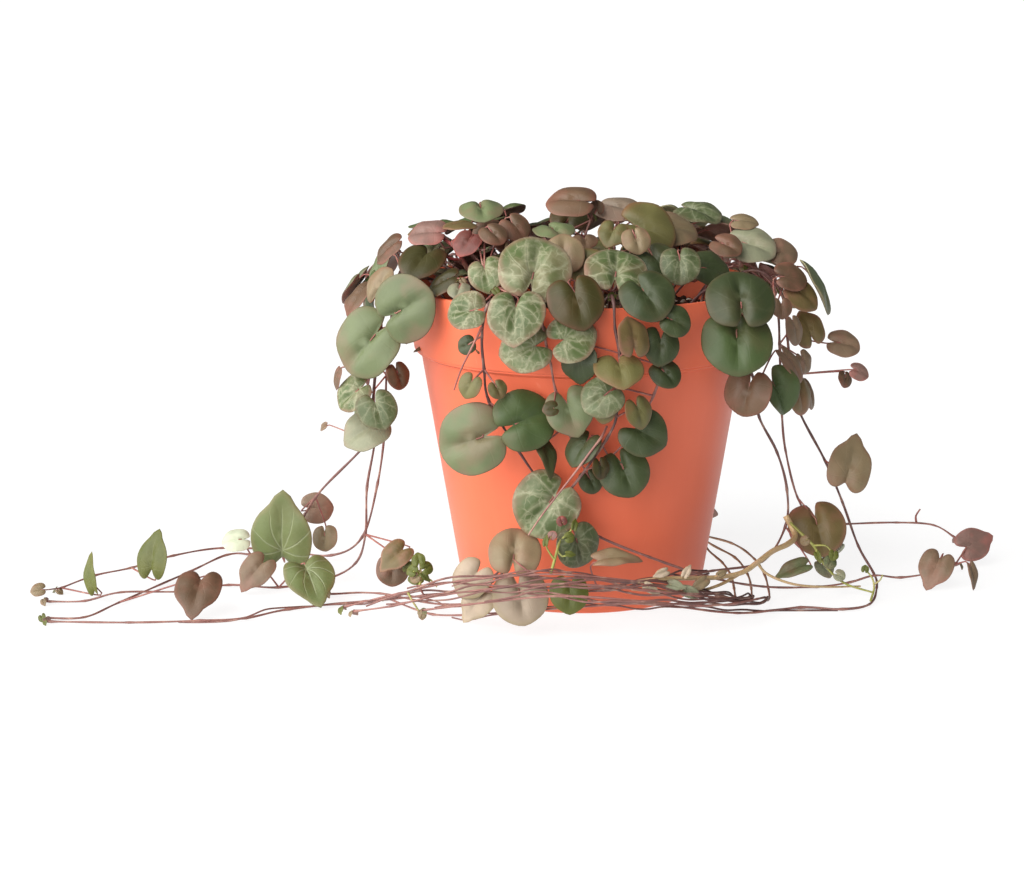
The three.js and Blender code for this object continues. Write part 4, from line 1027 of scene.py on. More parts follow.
class HeartLeafFinish(Finish):
    """Fleshy heart leaves: silver net and pale veins on green, tinted rims and a mauve underside."""

    name = "heart_leaf"
    specular = 0.34
    silver = srgb(156, 160, 130)
    shadow = (0.012, 0.02, 0.006)
    relief = (0.00035, 0.6)
    hub = 0.2  # how far the stalk's end lies behind the blade's middle
    vein_angles = (0.0, 0.62, 1.22, 1.95)
    vein_width, rib_width = 0.02, 0.026
    vein_bend = 0.55
    broadening = 2.6  # how much wider the silver along the veins is than the veins
    net_scale, net_width = 5.2, 0.11
    mottle_scale, grain_scale, warp_scale, stain_scale = 2.4, 26.0, 4.0, 1.5
    speckle_scale, patch_scale, breakup_scale = 16.0, 2.3, 6.0

    def surface(self, nodes: Nodes) -> Sockets:
        """Reads the blade's own map and the leaf's own attributes."""
        place = nodes.add("ShaderNodeUVMap", {"uv_map": "UVMap"}).offset((-0.5, -0.5, 0.0))
        traits, edges = nodes.attribute("traits"), nodes.attribute("edges")
        marble, veining, seed = traits.axis(0), traits.axis(1), traits.axis(2)
        rim, blotch = edges.axis(0), edges.axis(1)
        share, back = nodes.attribute("share", "Fac"), nodes.attribute("side", "Fac")
        face, tint, under = (nodes.attribute(name, "Color") for name in ("face_colour", "tint", "under"))
        shift = nodes.add("ShaderNodeCombineXYZ", {}, {0: seed * 17.0, 1: seed * 5.0, 2: seed * 31.0})
        where = place.offset(shift)
        mottle, grain = nodes.noise(where, self.mottle_scale), nodes.noise(where, self.grain_scale)
        warp = nodes.noise(where, self.warp_scale, output="Color").offset((-0.5, -0.5, -0.5))

        veins = self._veins(nodes, place.offset(warp.scaled(0.05)), 1.0)
        broad = self._veins(nodes, place.offset(warp.scaled(0.12)), self.broadening)
        net = nodes.add("ShaderNodeTexVoronoi", {"feature": "DISTANCE_TO_EDGE"},
                        {"Vector": where.offset(warp.scaled(0.3)), "Scale": self.net_scale}, "Distance")
        lines = 1.0 - net.rise(0.0, self.net_width)
        speckle = nodes.noise(where, self.speckle_scale).rise(0.4, 0.62)
        patch = nodes.noise(where.offset((3.1, 0.0, 0.0)), self.patch_scale).rise(0.46, 0.62)
        breakup = nodes.noise(where, self.breakup_scale).rise(0.32, 0.6)
        marks = lines * breakup * 0.55 + patch * (speckle * 0.5 + 0.5) * 0.5 + broad * 0.5
        silvered = (marble * marks).clamped()

        spread = (share + mottle * 0.24 - 0.12).rise(0.8, 1.0)
        stain = nodes.noise(where.offset((0.0, 7.3, 0.0)), self.stain_scale).rise(0.46, 0.66)
        deep = nodes.blend(mottle.rise(0.3, 0.72) * 0.32, face, nodes.blend(0.5, face, self.shadow))
        tinted = nodes.blend((stain * blotch + spread * rim).clamped(), deep, tint)
        marbled = nodes.blend(silvered * 0.92, tinted, nodes.blend(0.22, self.silver, tint))
        upper = nodes.blend((veins * veining * 0.8).clamped(), marbled, nodes.blend(0.5, face, self.silver))
        lower = nodes.blend(mottle.rise(0.35, 0.75) * 0.5, under, tint)
        lower = nodes.blend(veins * 0.3, lower, nodes.blend(0.5, under, self.silver))
        height = grain * 0.25 + mottle * 0.6 + silvered * 0.3 - veins * (veining * 0.5 + 0.12)
        return {"Base Color": nodes.blend(back, upper, lower),
                "Roughness": grain * 0.14 + 0.42 + back * 0.1, "Height": height}

    def _veins(self, nodes: Nodes, place: Wire, width: float) -> Wire:
        """Where the main veins run: out from the stalk's end, bending towards the tip."""
        across, along = place.axis(0).size(), place.axis(1) + self.hub
        reach = (across * across + along * along) ** 0.5
        angle = across.angle_from(along)
        lines = []
        for branch in self.vein_angles:
            bend = angle + reach * self.vein_bend - branch if branch else angle
            away = (reach * bend.sine()).size() + reach * 0.008
            lines.append(1.0 - away.rise(0.0, (self.vein_width if branch else self.rib_width) * width))
        return reduce(Wire.larger, lines) * (1.0 - reach.rise(0.45, 0.72))


class StemFinish(Finish):
    """Wiry stems and leaf stalks, mottled along their length."""

    name = "vine_stem"
    roughness = 0.55
    shadow = (0.03, 0.016, 0.016)
    worn = srgb(196, 160, 140)
    wear = 0.35
    mottle_scale, fibre_scale = 240.0, 1500.0
    relief = (0.0002, 0.5)

    def surface(self, nodes: Nodes) -> Sockets:
        """Reads the stem's own colour."""
        where, bark = nodes.place(), nodes.attribute("bark", "Color")
        mottle, fibre = nodes.noise(where, self.mottle_scale), nodes.noise(where, self.fibre_scale, 2.0)
        dark, pale = nodes.blend(self.wear, bark, self.shadow), nodes.blend(self.wear, bark, self.worn)
        colour = nodes.blend(mottle.rise(0.5, 0.72), nodes.blend(mottle.rise(0.28, 0.5), dark, bark), pale)
        return {"Base Color": colour, "Roughness": fibre * 0.2 + 0.42,
                "Height": mottle + fibre * 0.4}


class PlasticFinish(Finish):
    """Moulded terracotta-orange plastic: fine grain, faint flow streaks and light scuffs."""

    name = "terracotta_plastic"
    specular = 0.3
    colour = srgb(220, 107, 75)
    shade = srgb(200, 90, 60)
    scuff = srgb(226, 138, 108)
    streak_scale, cloud_scale, grain_scale, scratch_scale = 70.0, 22.0, 2600.0, 160.0
    relief = (0.00012, 0.5)

    def surface(self, nodes: Nodes) -> Sockets:
        """Streaks run up the wall, and scuffs gather on it at random."""
        where = nodes.place()
        upright = nodes.add("ShaderNodeMapping", {}, {"Vector": where, "Scale": (1.0, 1.0, 0.12)})
        slanting = nodes.add("ShaderNodeMapping", {}, {
            "Vector": where, "Rotation": (0.4, 0.9, 0.2), "Scale": (1.0, 9.0, 0.6)})
        streak, cloud = nodes.noise(upright, self.streak_scale), nodes.noise(where, self.cloud_scale, 4.0)
        grain = nodes.noise(where, self.grain_scale, 2.0)
        scratch = nodes.noise(slanting, self.scratch_scale, 2.0)
        marks = scratch.rise(0.68, 0.78) * cloud.rise(0.5, 0.7)
        flow = streak.rise(0.3, 0.75) * 0.25 + cloud.rise(0.35, 0.7) * 0.2
        base = nodes.blend(flow, self.colour, self.shade)
        return {"Base Color": nodes.blend(marks * 0.3, base, self.scuff),
                "Roughness": cloud * 0.14 + grain * 0.08 + 0.32, "Height": grain * 0.5 + streak * 0.9}


class EarthFinish(Finish):
    """Damp peaty potting soil."""

    name = "potting_soil"
    specular = 0.25
    colours = (srgb(34, 24, 18), srgb(74, 54, 40))
    lump_scale, grain_scale = 180.0, 900.0
    relief = (0.0008, 0.8)

    def surface(self, nodes: Nodes) -> Sockets:
        """Dark and paler grains."""
        where = nodes.place()
        lumps, grains = nodes.noise(where, self.lump_scale, 4.0), nodes.noise(where, self.grain_scale)
        share = (lumps * 0.6 + grains * 0.6).rise(0.4, 0.8)
        return {"Base Color": nodes.blend(share, *self.colours), "Roughness": grains * 0.2 + 0.75,
                "Height": lumps + grains}


class BarkChipFinish(EarthFinish):
    """Bits of bark and fibre in the soil."""

    name = "bark_chips"
    colours = (srgb(70, 44, 28), srgb(128, 92, 62))


class PerliteFinish(EarthFinish):
    """White perlite grains, dusted with soil."""

    name = "perlite"
    colours = (srgb(150, 136, 118), srgb(224, 218, 206))


class FloorFinish(Finish):
    """The floor's matt grey, with a glow that keeps it pale."""

    name = "floor"
    roughness = 0.9
    shade, glow = 0.15, 0.86

    def surface(self, nodes: Nodes) -> Sockets:
        """One colour and one glow all over."""
        return {"Base Color": (self.shade,) * 3, "Emission Color": (1.0, 1.0, 1.0),
                "Emission Strength": self.glow}


# ---- Meshes --------------------------------------


def new_object(name: str, data: bpy.types.ID) -> bpy.types.Object:
    """An object for a mesh, a camera or a light, linked to the scene."""
    made = bpy.data.objects.new(name, data)
    bpy.context.scene.collection.objects.link(made)
    return made


def mesh_from(name: str, points: np.ndarray, edges: Sequence = (), faces: Sequence = ()) -> bpy.types.Mesh:
    """A mesh from points in millimetres."""
    mesh = bpy.data.meshes.new(name)
    mesh.from_pydata((np.asarray(points, float) * MM).tolist(), edges, faces)
    return mesh


def moulded(name: str, body: bmesh.types.BMesh) -> bpy.types.Mesh:
    """A mesh from a body that is done with."""
    mesh = bpy.data.meshes.new(name)
    body.to_mesh(mesh)
    body.free()
    return mesh


def closed_faces(rings: int, around: int) -> list[tuple[int, ...]]:
    """The faces of a closed body of rings between a first and a last point.

    Args:
        rings: The number of rings.
        around: The number of points in each, which run to the left as seen from outside.

    Returns:
        The faces, strip by strip from the first point to the last.
    """
    faces = []
    end = 1 + (rings - 1) * around
    for j in range(around):
        k = (j + 1) % around
        faces.append((0, 1 + k, 1 + j))
        for a in range(1, end, around):
            faces.append((a + j, a + k, a + around + k, a + around + j))
        faces.append((end + j, end + k, end + around))
    return faces


def discard(stock: bpy.types.Collection) -> None:
    """Removes a stock of pieces, once all its copies are made."""
    for piece in list(stock.objects):
        bpy.data.meshes.remove(piece.data)
    bpy.data.collections.remove(stock)


def set_attribute(mesh: bpy.types.Mesh, name: str, values: np.ndarray, kind: str = "FLOAT_VECTOR",
                  domain: str = "POINT") -> None:
    """Stores one value for each point or face.

    Args:
        mesh: The mesh that gets the attribute.
        name: The attribute's name.
        values: The values, in the order of the points or faces.
        kind: FLOAT, INT, BOOLEAN or FLOAT_VECTOR.
        domain: POINT or FACE.
    """
    key = "vector" if kind == "FLOAT_VECTOR" else "value"
    store = mesh.attributes.new(name, kind, domain)
    store.data.foreach_set(key, np.asarray(values).ravel())


def finished(made: bpy.types.Object, name: str, slot: str, *nodes: str) -> bpy.types.Object:
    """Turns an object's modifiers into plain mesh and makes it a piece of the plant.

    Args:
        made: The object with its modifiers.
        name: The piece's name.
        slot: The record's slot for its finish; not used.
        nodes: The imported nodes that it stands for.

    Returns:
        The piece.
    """
    graph = bpy.context.evaluated_depsgraph_get()
    mesh = bpy.data.meshes.new_from_object(made.evaluated_get(graph), depsgraph=graph)
    old = made.data
    made.modifiers.clear()
    made.data = mesh
    bpy.data.meshes.remove(old)
    made.name = mesh.name = name
    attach(made, BODY)
    if nodes:
        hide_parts(*nodes)
    LOG.info("%s: %d faces", name, len(mesh.polygons))
    return made


def geometry_tree(name: str, inputs: dict[str, str]) -> tuple[Nodes, dict[str, Wire]]:
    """An empty geometry tree with named inputs.

    Args:
        name: The tree's name.
        inputs: Each input's kind of socket by its name.

    Returns:
        The tree, and a wire for each input, with the geometry's under "Geometry".
    """
    tree = bpy.data.node_groups.new(name, "GeometryNodeTree")
    for label, kind in {"Geometry": "Geometry", **inputs}.items():
        tree.interface.new_socket(label, in_out="INPUT", socket_type="NodeSocket" + kind)
    tree.interface.new_socket("Geometry", in_out="OUTPUT", socket_type="NodeSocketGeometry")
    nodes = Nodes(tree)
    group = tree.nodes.new("NodeGroupInput")
    return nodes, {socket.name: Wire(nodes, socket) for socket in group.outputs if socket.name}


def run_tree(made: bpy.types.Object, tree: bpy.types.NodeTree, values: dict[str, object]) -> None:
    """Puts a geometry tree on an object, with its inputs set by their identifiers."""
    modifier = made.modifiers.new(tree.name, "NODES")
    modifier.node_group = tree
    for item in tree.interface.items_tree:
        if item.item_type == "SOCKET" and item.in_out == "INPUT" and item.name in values:
            modifier[item.identifier] = values[item.name]


# ---- Leaf blades ---------------------------------


class Form(Enum):
    """The forms that a blade takes."""

    HEART = "heart"
    ROUND = "round"
    POINTED = "pointed"
    IVY = "ivy"
    NARROW = "narrow"
    FOLDED = "folded"


@dataclass(frozen=True)
class Blade:
    """A fleshy heart blade of length 1 in its own directions: X to the tip, Y across, Z out of its face."""

    tip: float = TIP  # how far the tip stands out
    notch: float = NOTCH  # how deep the notch at the stalk is
    gap: float = 0.17  # how wide the notch is
    width: float = BLADE_WIDTH  # its width against a round blade's
    fold: float = BLADE_FOLD  # how steeply its halves rise from the rib
    cup: float = BLADE_CUP  # how far it curls down towards its edge
    crease: float = 0.035  # how deep the rib lies between its two lobes
    wave: float = 0.012  # how far its edge waves up and down
    skew: float = 0.0  # how much larger one lobe is
    curl: float = 0.0  # how far its tip bends down

    rays = 48
    crowding = 0.6  # how much closer the rays lie at the notch than at the tip
    thickness = 0.072
    pillow = 0.05
    lobe_at, lobe_spread = 0.2, 0.16
    rib_width, rib_end = 0.06, 0.62
    waves = 5
    top_shares = (0.22, 0.42, 0.6, 0.75, 0.86, 0.94, 0.985)
    under_shares = (0.3, 0.58, 0.8, 0.94)

    def mesh(self, name: str) -> bpy.types.Mesh:
        """The blade as a closed mesh, with its map and the attributes `share` and `side`."""
        rings = [*((share, 1) for share in self.top_shares), (1.0, 0),
                 *((share, -1) for share in reversed(self.under_shares))]
        angles = 2 * math.pi * np.arange(self.rays) / self.rays
        angles += self.crowding * np.sin(angles)
        spots = np.vstack([self._points(np.zeros(1), 0.0, 1),
                           *(self._points(angles, share, side) for share, side in rings),
                           self._points(np.zeros(1), 0.0, -1)])
        shares = np.concatenate([[0.0], np.repeat([share for share, _ in rings], self.rays), [0.0]])
        faces = [(face[0], *face[:0:-1]) for face in closed_faces(len(rings), self.rays)]
        back = [0.0] * (1 + len(self.top_shares)) + [1.0] * (1 + len(self.under_shares))
        mesh = mesh_from(name, spots / MM, (), faces)
        mesh.shade_smooth()
        flat = np.column_stack([spots[:, 1] + 0.5, spots[:, 0] + 0.5])
        corners = np.zeros(len(mesh.loops), int)
        mesh.loops.foreach_get("vertex_index", corners)
        mesh.uv_layers.new(name="UVMap").data.foreach_set("uv", flat[corners].ravel())
        set_attribute(mesh, "share", shares, "FLOAT")
        set_attribute(mesh, "side", np.tile(back, self.rays), "FLOAT", "FACE")
        return mesh

    def _points(self, angles: np.ndarray, share: float, side: int) -> np.ndarray:
        """Points round a ring of the blade, on its upper side (1), its under side (-1) or its rim (0)."""
        turn = np.where(angles > math.pi, angles - 2 * math.pi, angles)
        reach = share * heart(turn, self.tip, self.notch, self.gap)
        x = reach * np.cos(angles)
        y = self.width * reach * np.sin(angles)
        y = y * (1 + self.skew * np.sign(y) * (0.5 - x))
        rise = self.fold * np.abs(y) - self.cup * (x * x + y * y) - self.curl * np.maximum(x, 0) ** 2
        rise = rise + self.wave * share ** 2 * np.sin(self.waves * angles + 9 * self.skew)
        lobes = np.exp(-((np.abs(y) - self.lobe_at) / self.lobe_spread) ** 2) * (1 - share ** 4) * (0.9 - x)
        rib = np.exp(-((y / self.rib_width) ** 2)) * (1 - share ** 3) * np.clip(self.rib_end - x, 0, 1)
        half = self.thickness / 2 * math.sqrt(max(0.0, 1 - share ** 3))
        if side > 0:
            rise = rise + half + self.pillow * lobes - self.crease * rib
        elif side < 0:
            rise = rise - half + self.pillow * 0.5 * lobes - self.crease * 0.8 * rib
        return np.column_stack([x, y, rise])


class BladeSet:
    """The stock of blades that the leaves are picked from: a few of each form, no two alike."""

    each = 3
    patterns = {
        Form.HEART: Blade(),
        Form.ROUND: Blade(tip=0.05, notch=0.52, gap=0.1, crease=0.085, cup=0.26, width=1.08),
        Form.POINTED: Blade(tip=0.36, notch=0.5, gap=0.24, width=0.94, crease=0.02, cup=0.12),
        Form.IVY: Blade(tip=0.42, notch=0.36, gap=0.34, width=0.9, crease=0.012, cup=0.08, wave=0.02),
        Form.NARROW: Blade(tip=0.4, notch=0.3, gap=0.3, width=0.6, fold=0.2, crease=0.012),
        Form.FOLDED: Blade(fold=0.45, width=0.9, cup=0.3, tip=0.12, crease=0.08),
    }

    scaled = {"tip": (0.7, 1.35), "notch": (0.9, 1.08), "fold": (0.4, 1.7), "crease": (0.7, 1.3)}
    drawn = {"wave": (0.004, 0.022), "skew": (-0.12, 0.12), "curl": (0.0, 0.14)}

    def __init__(self) -> None:
        """Makes the blades in a collection of their own, outside the scene."""
        self.stock = bpy.data.collections.new("blades")
        self.draw = draws(SEED + 2)
        self.order: dict[Form, int] = {}
        for form, pattern in self.patterns.items():
            self.order[form] = len(self.stock.objects)
            for _ in range(self.each):
                name = f"blade_{len(self.stock.objects):02d}"
                self.stock.objects.link(bpy.data.objects.new(name, self._varied(pattern).mesh(name)))

    def _varied(self, pattern: Blade) -> Blade:
        """A blade a little unlike its pattern."""
        shares = {name: mix(*span, self.draw()) for name, span in self.scaled.items()}
        traits = {name: getattr(pattern, name) * share for name, share in shares.items()}
        traits |= {name: mix(*span, self.draw()) for name, span in self.drawn.items()}
        return replace(pattern, **traits)

    def pick(self, form: Form, draw: Draw) -> int:
        """The place in the stock of a blade of this form."""
        return self.order[form] + int(draw() * self.each)


# ---- The plant -----------------------------------


Line = tuple[np.ndarray, np.ndarray, np.ndarray | Colour]
Blades = Sequence[tuple[Leaf, LeafLook, Form]]


@dataclass(frozen=True)
class Twining:
    """How thinner stems twine round the part of a vine that lies in front of the pot."""

    height: float = 28.0  # a vine lies where it is below this
    front: float = -40.0  # and in front of this
    left: float = -60.0  # or left of this
    share: Span = (0.7, 0.95)  # how much of that part a stem goes along
    turn: Span = (44.0, 80.0)  # how far along it goes once round
    apart: float = 1.5  # how far it stands off, for a girth of 1
    slack: float = 1.1  # how much further it stands off at most
    bow: Span = (20.0, 36.0)  # how far along it goes from one loose place to the next
    girth: Span = (0.6, 0.9)  # its radius at its start, for a girth of 1
    end: float = 0.7  # what is left of that at its end
    age: float = 0.8  # how young its bark is there


@dataclass
class VineBuilder:
    """Makes the finer piece of each vine: its stem, its stalks and its fleshy leaves."""

    blades: BladeSet
    twining: Twining = Twining()
    girth: float = 0.5  # a stem's radius between its nodes, at its root
    thinning: float = 0.34  # how much thinner it is near its end
    point: float = 0.3  # what is left of it at its end
    swelling: float = 0.2  # how much thicker it is at a node
    swelling_length: float = 1.2  # how far that reaches along the stem
    unevenness: float = 0.12
    ages: Span = (-0.5, 1.6)  # how young its bark is, from its root to its end
    stalk_girth: float = 0.29  # a leaf stalk's radius
    stalk_share: float = 0.05  # its radius at most, for a leaf of length 1
    stalk_taper: Span = (1.15, 0.8)
    step: float = 2.0  # the way between two points of a stem
    sprig_step: float = 1.0
    sprig_end: float = 0.6  # what is left of a small shoot's girth at its end
    sides: int = 8
    rounds: float = 0.55  # how many leaves are round where a look names no form
    bud_leaf: Span = (1.82, 3.12)  # the length of the two young leaves at a stem's end
    shades: Span = (0.84, 1.16)  # how dark or light a leaf is against its look
    common: tuple[Tone, ...] = (Tone.SAGE, Tone.SILVER, Tone.DARK, Tone.GREEN, Tone.NETTED, Tone.OLIVE,
                                Tone.SAGE, Tone.BROWN, Tone.DARK, Tone.PALE, Tone.GREEN, Tone.UMBER)
    draw: Draw = field(default_factory=lambda: draws(SEED + 3))

    @cached_property
    def tree(self) -> bpy.types.NodeTree:
        """The geometry tree that turns lines into stems and points into leaves."""
        nodes, wires = geometry_tree("leafy_vine", {
            "Blades": "Collection", "Sides": "Int", "Leaf": "Material", "Stem": "Material"})
        named = nodes.named
        leafy = named("is_leaf", "BOOLEAN")
        lines = nodes.add("GeometryNodeMeshToCurve", {}, {
            "Mesh": wires["Geometry"],
            "Selection": nodes.add("FunctionNodeBooleanMath", {"operation": "NOT"}, {0: leafy})})
        ring = nodes.add("GeometryNodeCurvePrimitiveCircle", {}, {"Resolution": wires["Sides"]})
        tubes = nodes.add("GeometryNodeCurveToMesh", {}, {
            "Curve": lines, "Profile Curve": ring, "Scale": named("girth", "FLOAT"), "Fill Caps": True})
        tubes = nodes.add("GeometryNodeSetMaterial", {}, {"Geometry": tubes, "Material": wires["Stem"]})

        points = nodes.add("GeometryNodeMeshToPoints", {}, {"Mesh": wires["Geometry"], "Selection": leafy})
        turn = nodes.add("FunctionNodeAxesToRotation", {"primary_axis": "Z", "secondary_axis": "X"}, {
            "Primary Axis": named("face", "FLOAT_VECTOR"), "Secondary Axis": named("tip", "FLOAT_VECTOR")})
        leaves = nodes.strewn(points, wires["Blades"], wires["Leaf"], {
            "Instance Index": named("form", "INT"), "Rotation": turn, "Scale": named("length", "FLOAT")})
        both = nodes.add("GeometryNodeJoinGeometry", {}, {0: tubes})
        nodes.tree.links.new(leaves.socket, both.socket.node.inputs[0])
        nodes.add("NodeGroupOutput", {}, {0: both})
        return nodes.tree

    def build(self, vine: Vine, leaves: Sequence[Leaf]) -> bpy.types.Object:
        """Makes one vine's piece.

        Args:
            vine: The vine.
            leaves: Its leaves, where they found room.

        Returns:
            The piece, which stands for the vine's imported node.
        """
        lines = [self._stem(vine), *self._twiners(vine)]
        lines += [(*self._stalk(leaf), Bark.STALK.value) for leaf in leaves]
        blades = [*((leaf, *self._look(leaf.look)) for leaf in leaves), *self._buds(vine)]
        return self._piece(vine.name + "_grown", lines, blades, vine.name)

    def build_sprig(self, sprig: Sprig) -> bpy.types.Object:
        """Makes the piece of one small shoot."""
        lines = []
        for girth, route in sprig.lines:
            line = smooth_path([vec(*point) for point in route], self.sprig_step)
            lines.append((line, girth * np.linspace(1, self.sprig_end, len(line)), sprig.bark.value))
        route = np.vstack([line for line, *_ in lines])
        leaves = [Leaf(vec(*place[:3]), *place[3:], route, look)
                  for place, look in zip(sprig.leaves, sprig.looks.split(), strict=True)]
        lines += [(*self._stalk(leaf), sprig.bark.value) for leaf in leaves]
        return self._piece(sprig.name, lines, [(leaf, *self._look(leaf.look)) for leaf in leaves])

    def _piece(self, name: str, lines: Sequence[Line], blades: Blades, *nodes: str) -> bpy.types.Object:
        """One piece from lines, each with its radii and its colour, and from blades."""
        edges, first = [], 0
        for line, *_ in lines:
            edges += [(first + i, first + i + 1) for i in range(len(line) - 1)]
            first += len(line)
        middles = np.array([leaf.middle for leaf, *_ in blades]).reshape(-1, 3)
        mesh = mesh_from(name, np.vstack([*(line for line, *_ in lines), middles]), edges)
        bark = np.vstack([*(np.broadcast_to(colour, line.shape) for line, _, colour in lines), 0 * middles])
        girths = np.concatenate([girth for _, girth, _ in lines])
        self._store(mesh, first, girths * MM, bark, blades)
        made = new_object(name + "_source", mesh)
        run_tree(made, self.tree, {"Blades": self.blades.stock, "Sides": self.sides,
                                   "Leaf": HeartLeafFinish().material(), "Stem": StemFinish().material()})
        made = finished(made, name, "foliage", *nodes)
        self._lay(made.data)
        made.data.shade_smooth()
        return made

    @staticmethod
    def _lay(mesh: bpy.types.Mesh) -> None:
        """Lays what would dip into the surface flat on it."""
        places = np.empty(3 * len(mesh.vertices), np.float32)
        mesh.vertices.foreach_get("co", places)
        places[2::3] = np.maximum(places[2::3], 0)
        mesh.vertices.foreach_set("co", places)
        mesh.update()

    def _store(self, mesh: bpy.types.Mesh, stems: int, girths: np.ndarray, bark: np.ndarray,
               blades: Blades) -> None:
        """Stores what the tree and the finishes read, with zeros on the stems' points."""

        def column(rows: Iterable, *width: int) -> np.ndarray:
            """The stems' zeros, then a row for each blade."""
            rows = np.array(list(rows), float).reshape(-1, *width)
            return np.concatenate([np.zeros((stems, *width)), rows])

        leaves, looks = [leaf for leaf, *_ in blades], [look for _, look, _ in blades]
        seeds = [self.draw() for _ in blades]
        shades = [mix(*self.shades, self.draw()) for _ in blades]
        vectors = {
            "face": [leaf.axes[2] for leaf in leaves],
            "tip": [leaf.axes[0] for leaf in leaves],
            "face_colour": [[c * shade for c in look.face] for look, shade in zip(looks, shades)],
            "tint": [look.tint for look in looks],
            "under": [look.back for look in looks],
            "traits": [(look.marble, look.veins, seed) for look, seed in zip(looks, seeds)],
            "edges": [(look.rim, look.blotch, 0.0) for look in looks],
        }
        for name, rows in vectors.items():
            set_attribute(mesh, name, column(rows, 3))
        set_attribute(mesh, "bark", bark)
        set_attribute(mesh, "length", column(leaf.length * MM for leaf in leaves), "FLOAT")
        set_attribute(mesh, "girth", np.concatenate([girths, np.zeros(len(blades))]), "FLOAT")
        picks = column(self.blades.pick(form, self.draw) for _, _, form in blades)
        set_attribute(mesh, "form", picks.astype(int), "INT")
        set_attribute(mesh, "is_leaf", np.arange(stems + len(blades)) >= stems, "BOOLEAN")

    def _stem(self, vine: Vine) -> Line:
        """A stem's points, its radius at each and its colours: thicker at its nodes, thin at its end."""
        nodes = stem_nodes(vine)
        line = smooth_path(nodes, self.step)
        girth = self.girth * (1 - self.thinning * np.linspace(0, 1, len(line)))
        for node in nodes[2:-1]:
            near = np.linalg.norm(line - node, axis=1) / self.swelling_length
            girth += self.swelling * girth[-1] / self.girth * np.exp(-(near ** 2))
        girth *= 1 + self.unevenness * np.sin(0.7 * np.arange(len(line)) + 3 * self.draw())
        girth[-1] = self.point * self.girth
        return line, girth, self._ageing(vine.bark, np.linspace(*self.ages, len(line)))

    def _twiners(self, vine: Vine) -> list[Line]:
        """Thinner stems that twine round the part of a vine that lies in front of the pot."""
        rule = self.twining
        path = smooth_path(stem_nodes(vine), self.step)
        x, y, z = path.T
        lying = path[(z < rule.height) & ((y < rule.front) | (x < rule.left))]
        made = []
        for _ in range(vine.twined):
            line = lying[:int(len(lying) * mix(*rule.share, self.draw()))]
            along = self.step * np.arange(len(line))
            turn = 2 * math.pi * (self.draw() + along / mix(*rule.turn, self.draw()))
            side = np.cross(np.gradient(line, axis=0), (0, 0, 1))
            side /= np.linalg.norm(side, axis=1)[:, None]
            loose = rule.slack * np.sin(math.pi * along / mix(*rule.bow, self.draw())) ** 2
            apart = (rule.apart * self.girth + loose)[:, None]
            line = line + apart * (np.cos(turn)[:, None] * side + np.sin(turn)[:, None] * vec(0, 0, 1))
            line[:, 2] = np.maximum(line[:, 2], self.girth)
            girth = self.girth * mix(*rule.girth, self.draw()) * np.linspace(1, rule.end, len(line))
            made.append((line, girth, self._ageing(Bark.WIRY, np.linspace(0, rule.age, len(line)))))
        return made

    @staticmethod
    def _ageing(bark: Bark, share: np.ndarray) -> np.ndarray:
        """The colours along a stem, from its own bark at a share of 0 to a young end's at 1."""
        young = np.clip(share, 0, 1)[:, None]
        return (1 - young) * bark.value + young * Bark.YOUNG.value

    def _stalk(self, leaf: Leaf) -> tuple[np.ndarray, np.ndarray]:
        """A stalk's points, on into the underside of its blade, and its radius at each."""
        line = np.vstack([leaf.stalk(self.step), leaf.points(math.pi, 0.45) - 0.3 * leaf.axes[2]])
        girth = min(self.stalk_girth, self.stalk_share * leaf.length)
        return line, girth * np.linspace(*self.stalk_taper, len(line))

    def _look(self, words: str) -> tuple[LeafLook, Form]:
        """A leaf's look and form from its words, or by a draw where it has none."""
        tone, _, form = words.partition("/")
        look = Tone[tone.upper()] if tone else self.common[int(self.draw() * len(self.common))]
        if form:
            return look.value, Form(form)
        return look.value, Form.ROUND if self.draw() < self.rounds else Form.HEART

    def _buds(self, vine: Vine) -> Blades:
        """The two young leaves at a stem's end."""
        nodes = stem_nodes(vine)
        end, ahead = nodes[-1], unit(nodes[-1] - nodes[-2])
        azimuth = math.degrees(math.atan2(ahead[0], -ahead[1]))
        buds = []
        for side in SIDES:
            length = mix(*self.bud_leaf, self.draw())
            leaf = Leaf(end.copy(), length, azimuth + side * 60, 35.0, side * 40.0, np.array([end]))
            leaf.middle += 0.45 * length * leaf.axes[0] + 0.5 * leaf.axes[2]
            leaf.middle[2] = max(leaf.middle[2], 0.5 * length)
            tone = Tone.TAN if self.draw() < 0.6 else Tone.BRIGHT
            buds.append((leaf, tone.value, Form.POINTED))
        return buds


# ---- The pot and the soil ------------------------


def arc(middle: Span, radius: float, start: float, end: float, steps: int) -> list[Span]:
    """Points of an arc in a profile, its angles in degrees from outwards to upwards."""
    angles = [math.radians(mix(start, end, i / steps)) for i in range(steps + 1)]
    return [(middle[0] + radius * math.cos(a), middle[1] + radius * math.sin(a)) for a in angles]


def turned(name: str, profile: Sequence[Span], segments: int) -> bpy.types.Mesh:
    """A closed mesh from a profile turned round the upright axis.

    Args:
        name: The mesh's name.
        profile: Points (radius, height) from the axis below, round the outside, to the axis above.
        segments: The number of segments round.

    Returns:
        The mesh, with its faces outwards.
    """
    turns = 2 * math.pi * np.arange(segments) / segments
    rings = profile[1:-1]
    points = [vec(r * math.cos(t), r * math.sin(t), z) for r, z in rings for t in turns]
    points = np.array([vec(0, 0, profile[0][1]), *points, vec(0, 0, profile[-1][1])])
    mesh = mesh_from(name, points, (), closed_faces(len(rings), segments))
    mesh.shade_smooth()
    return mesh


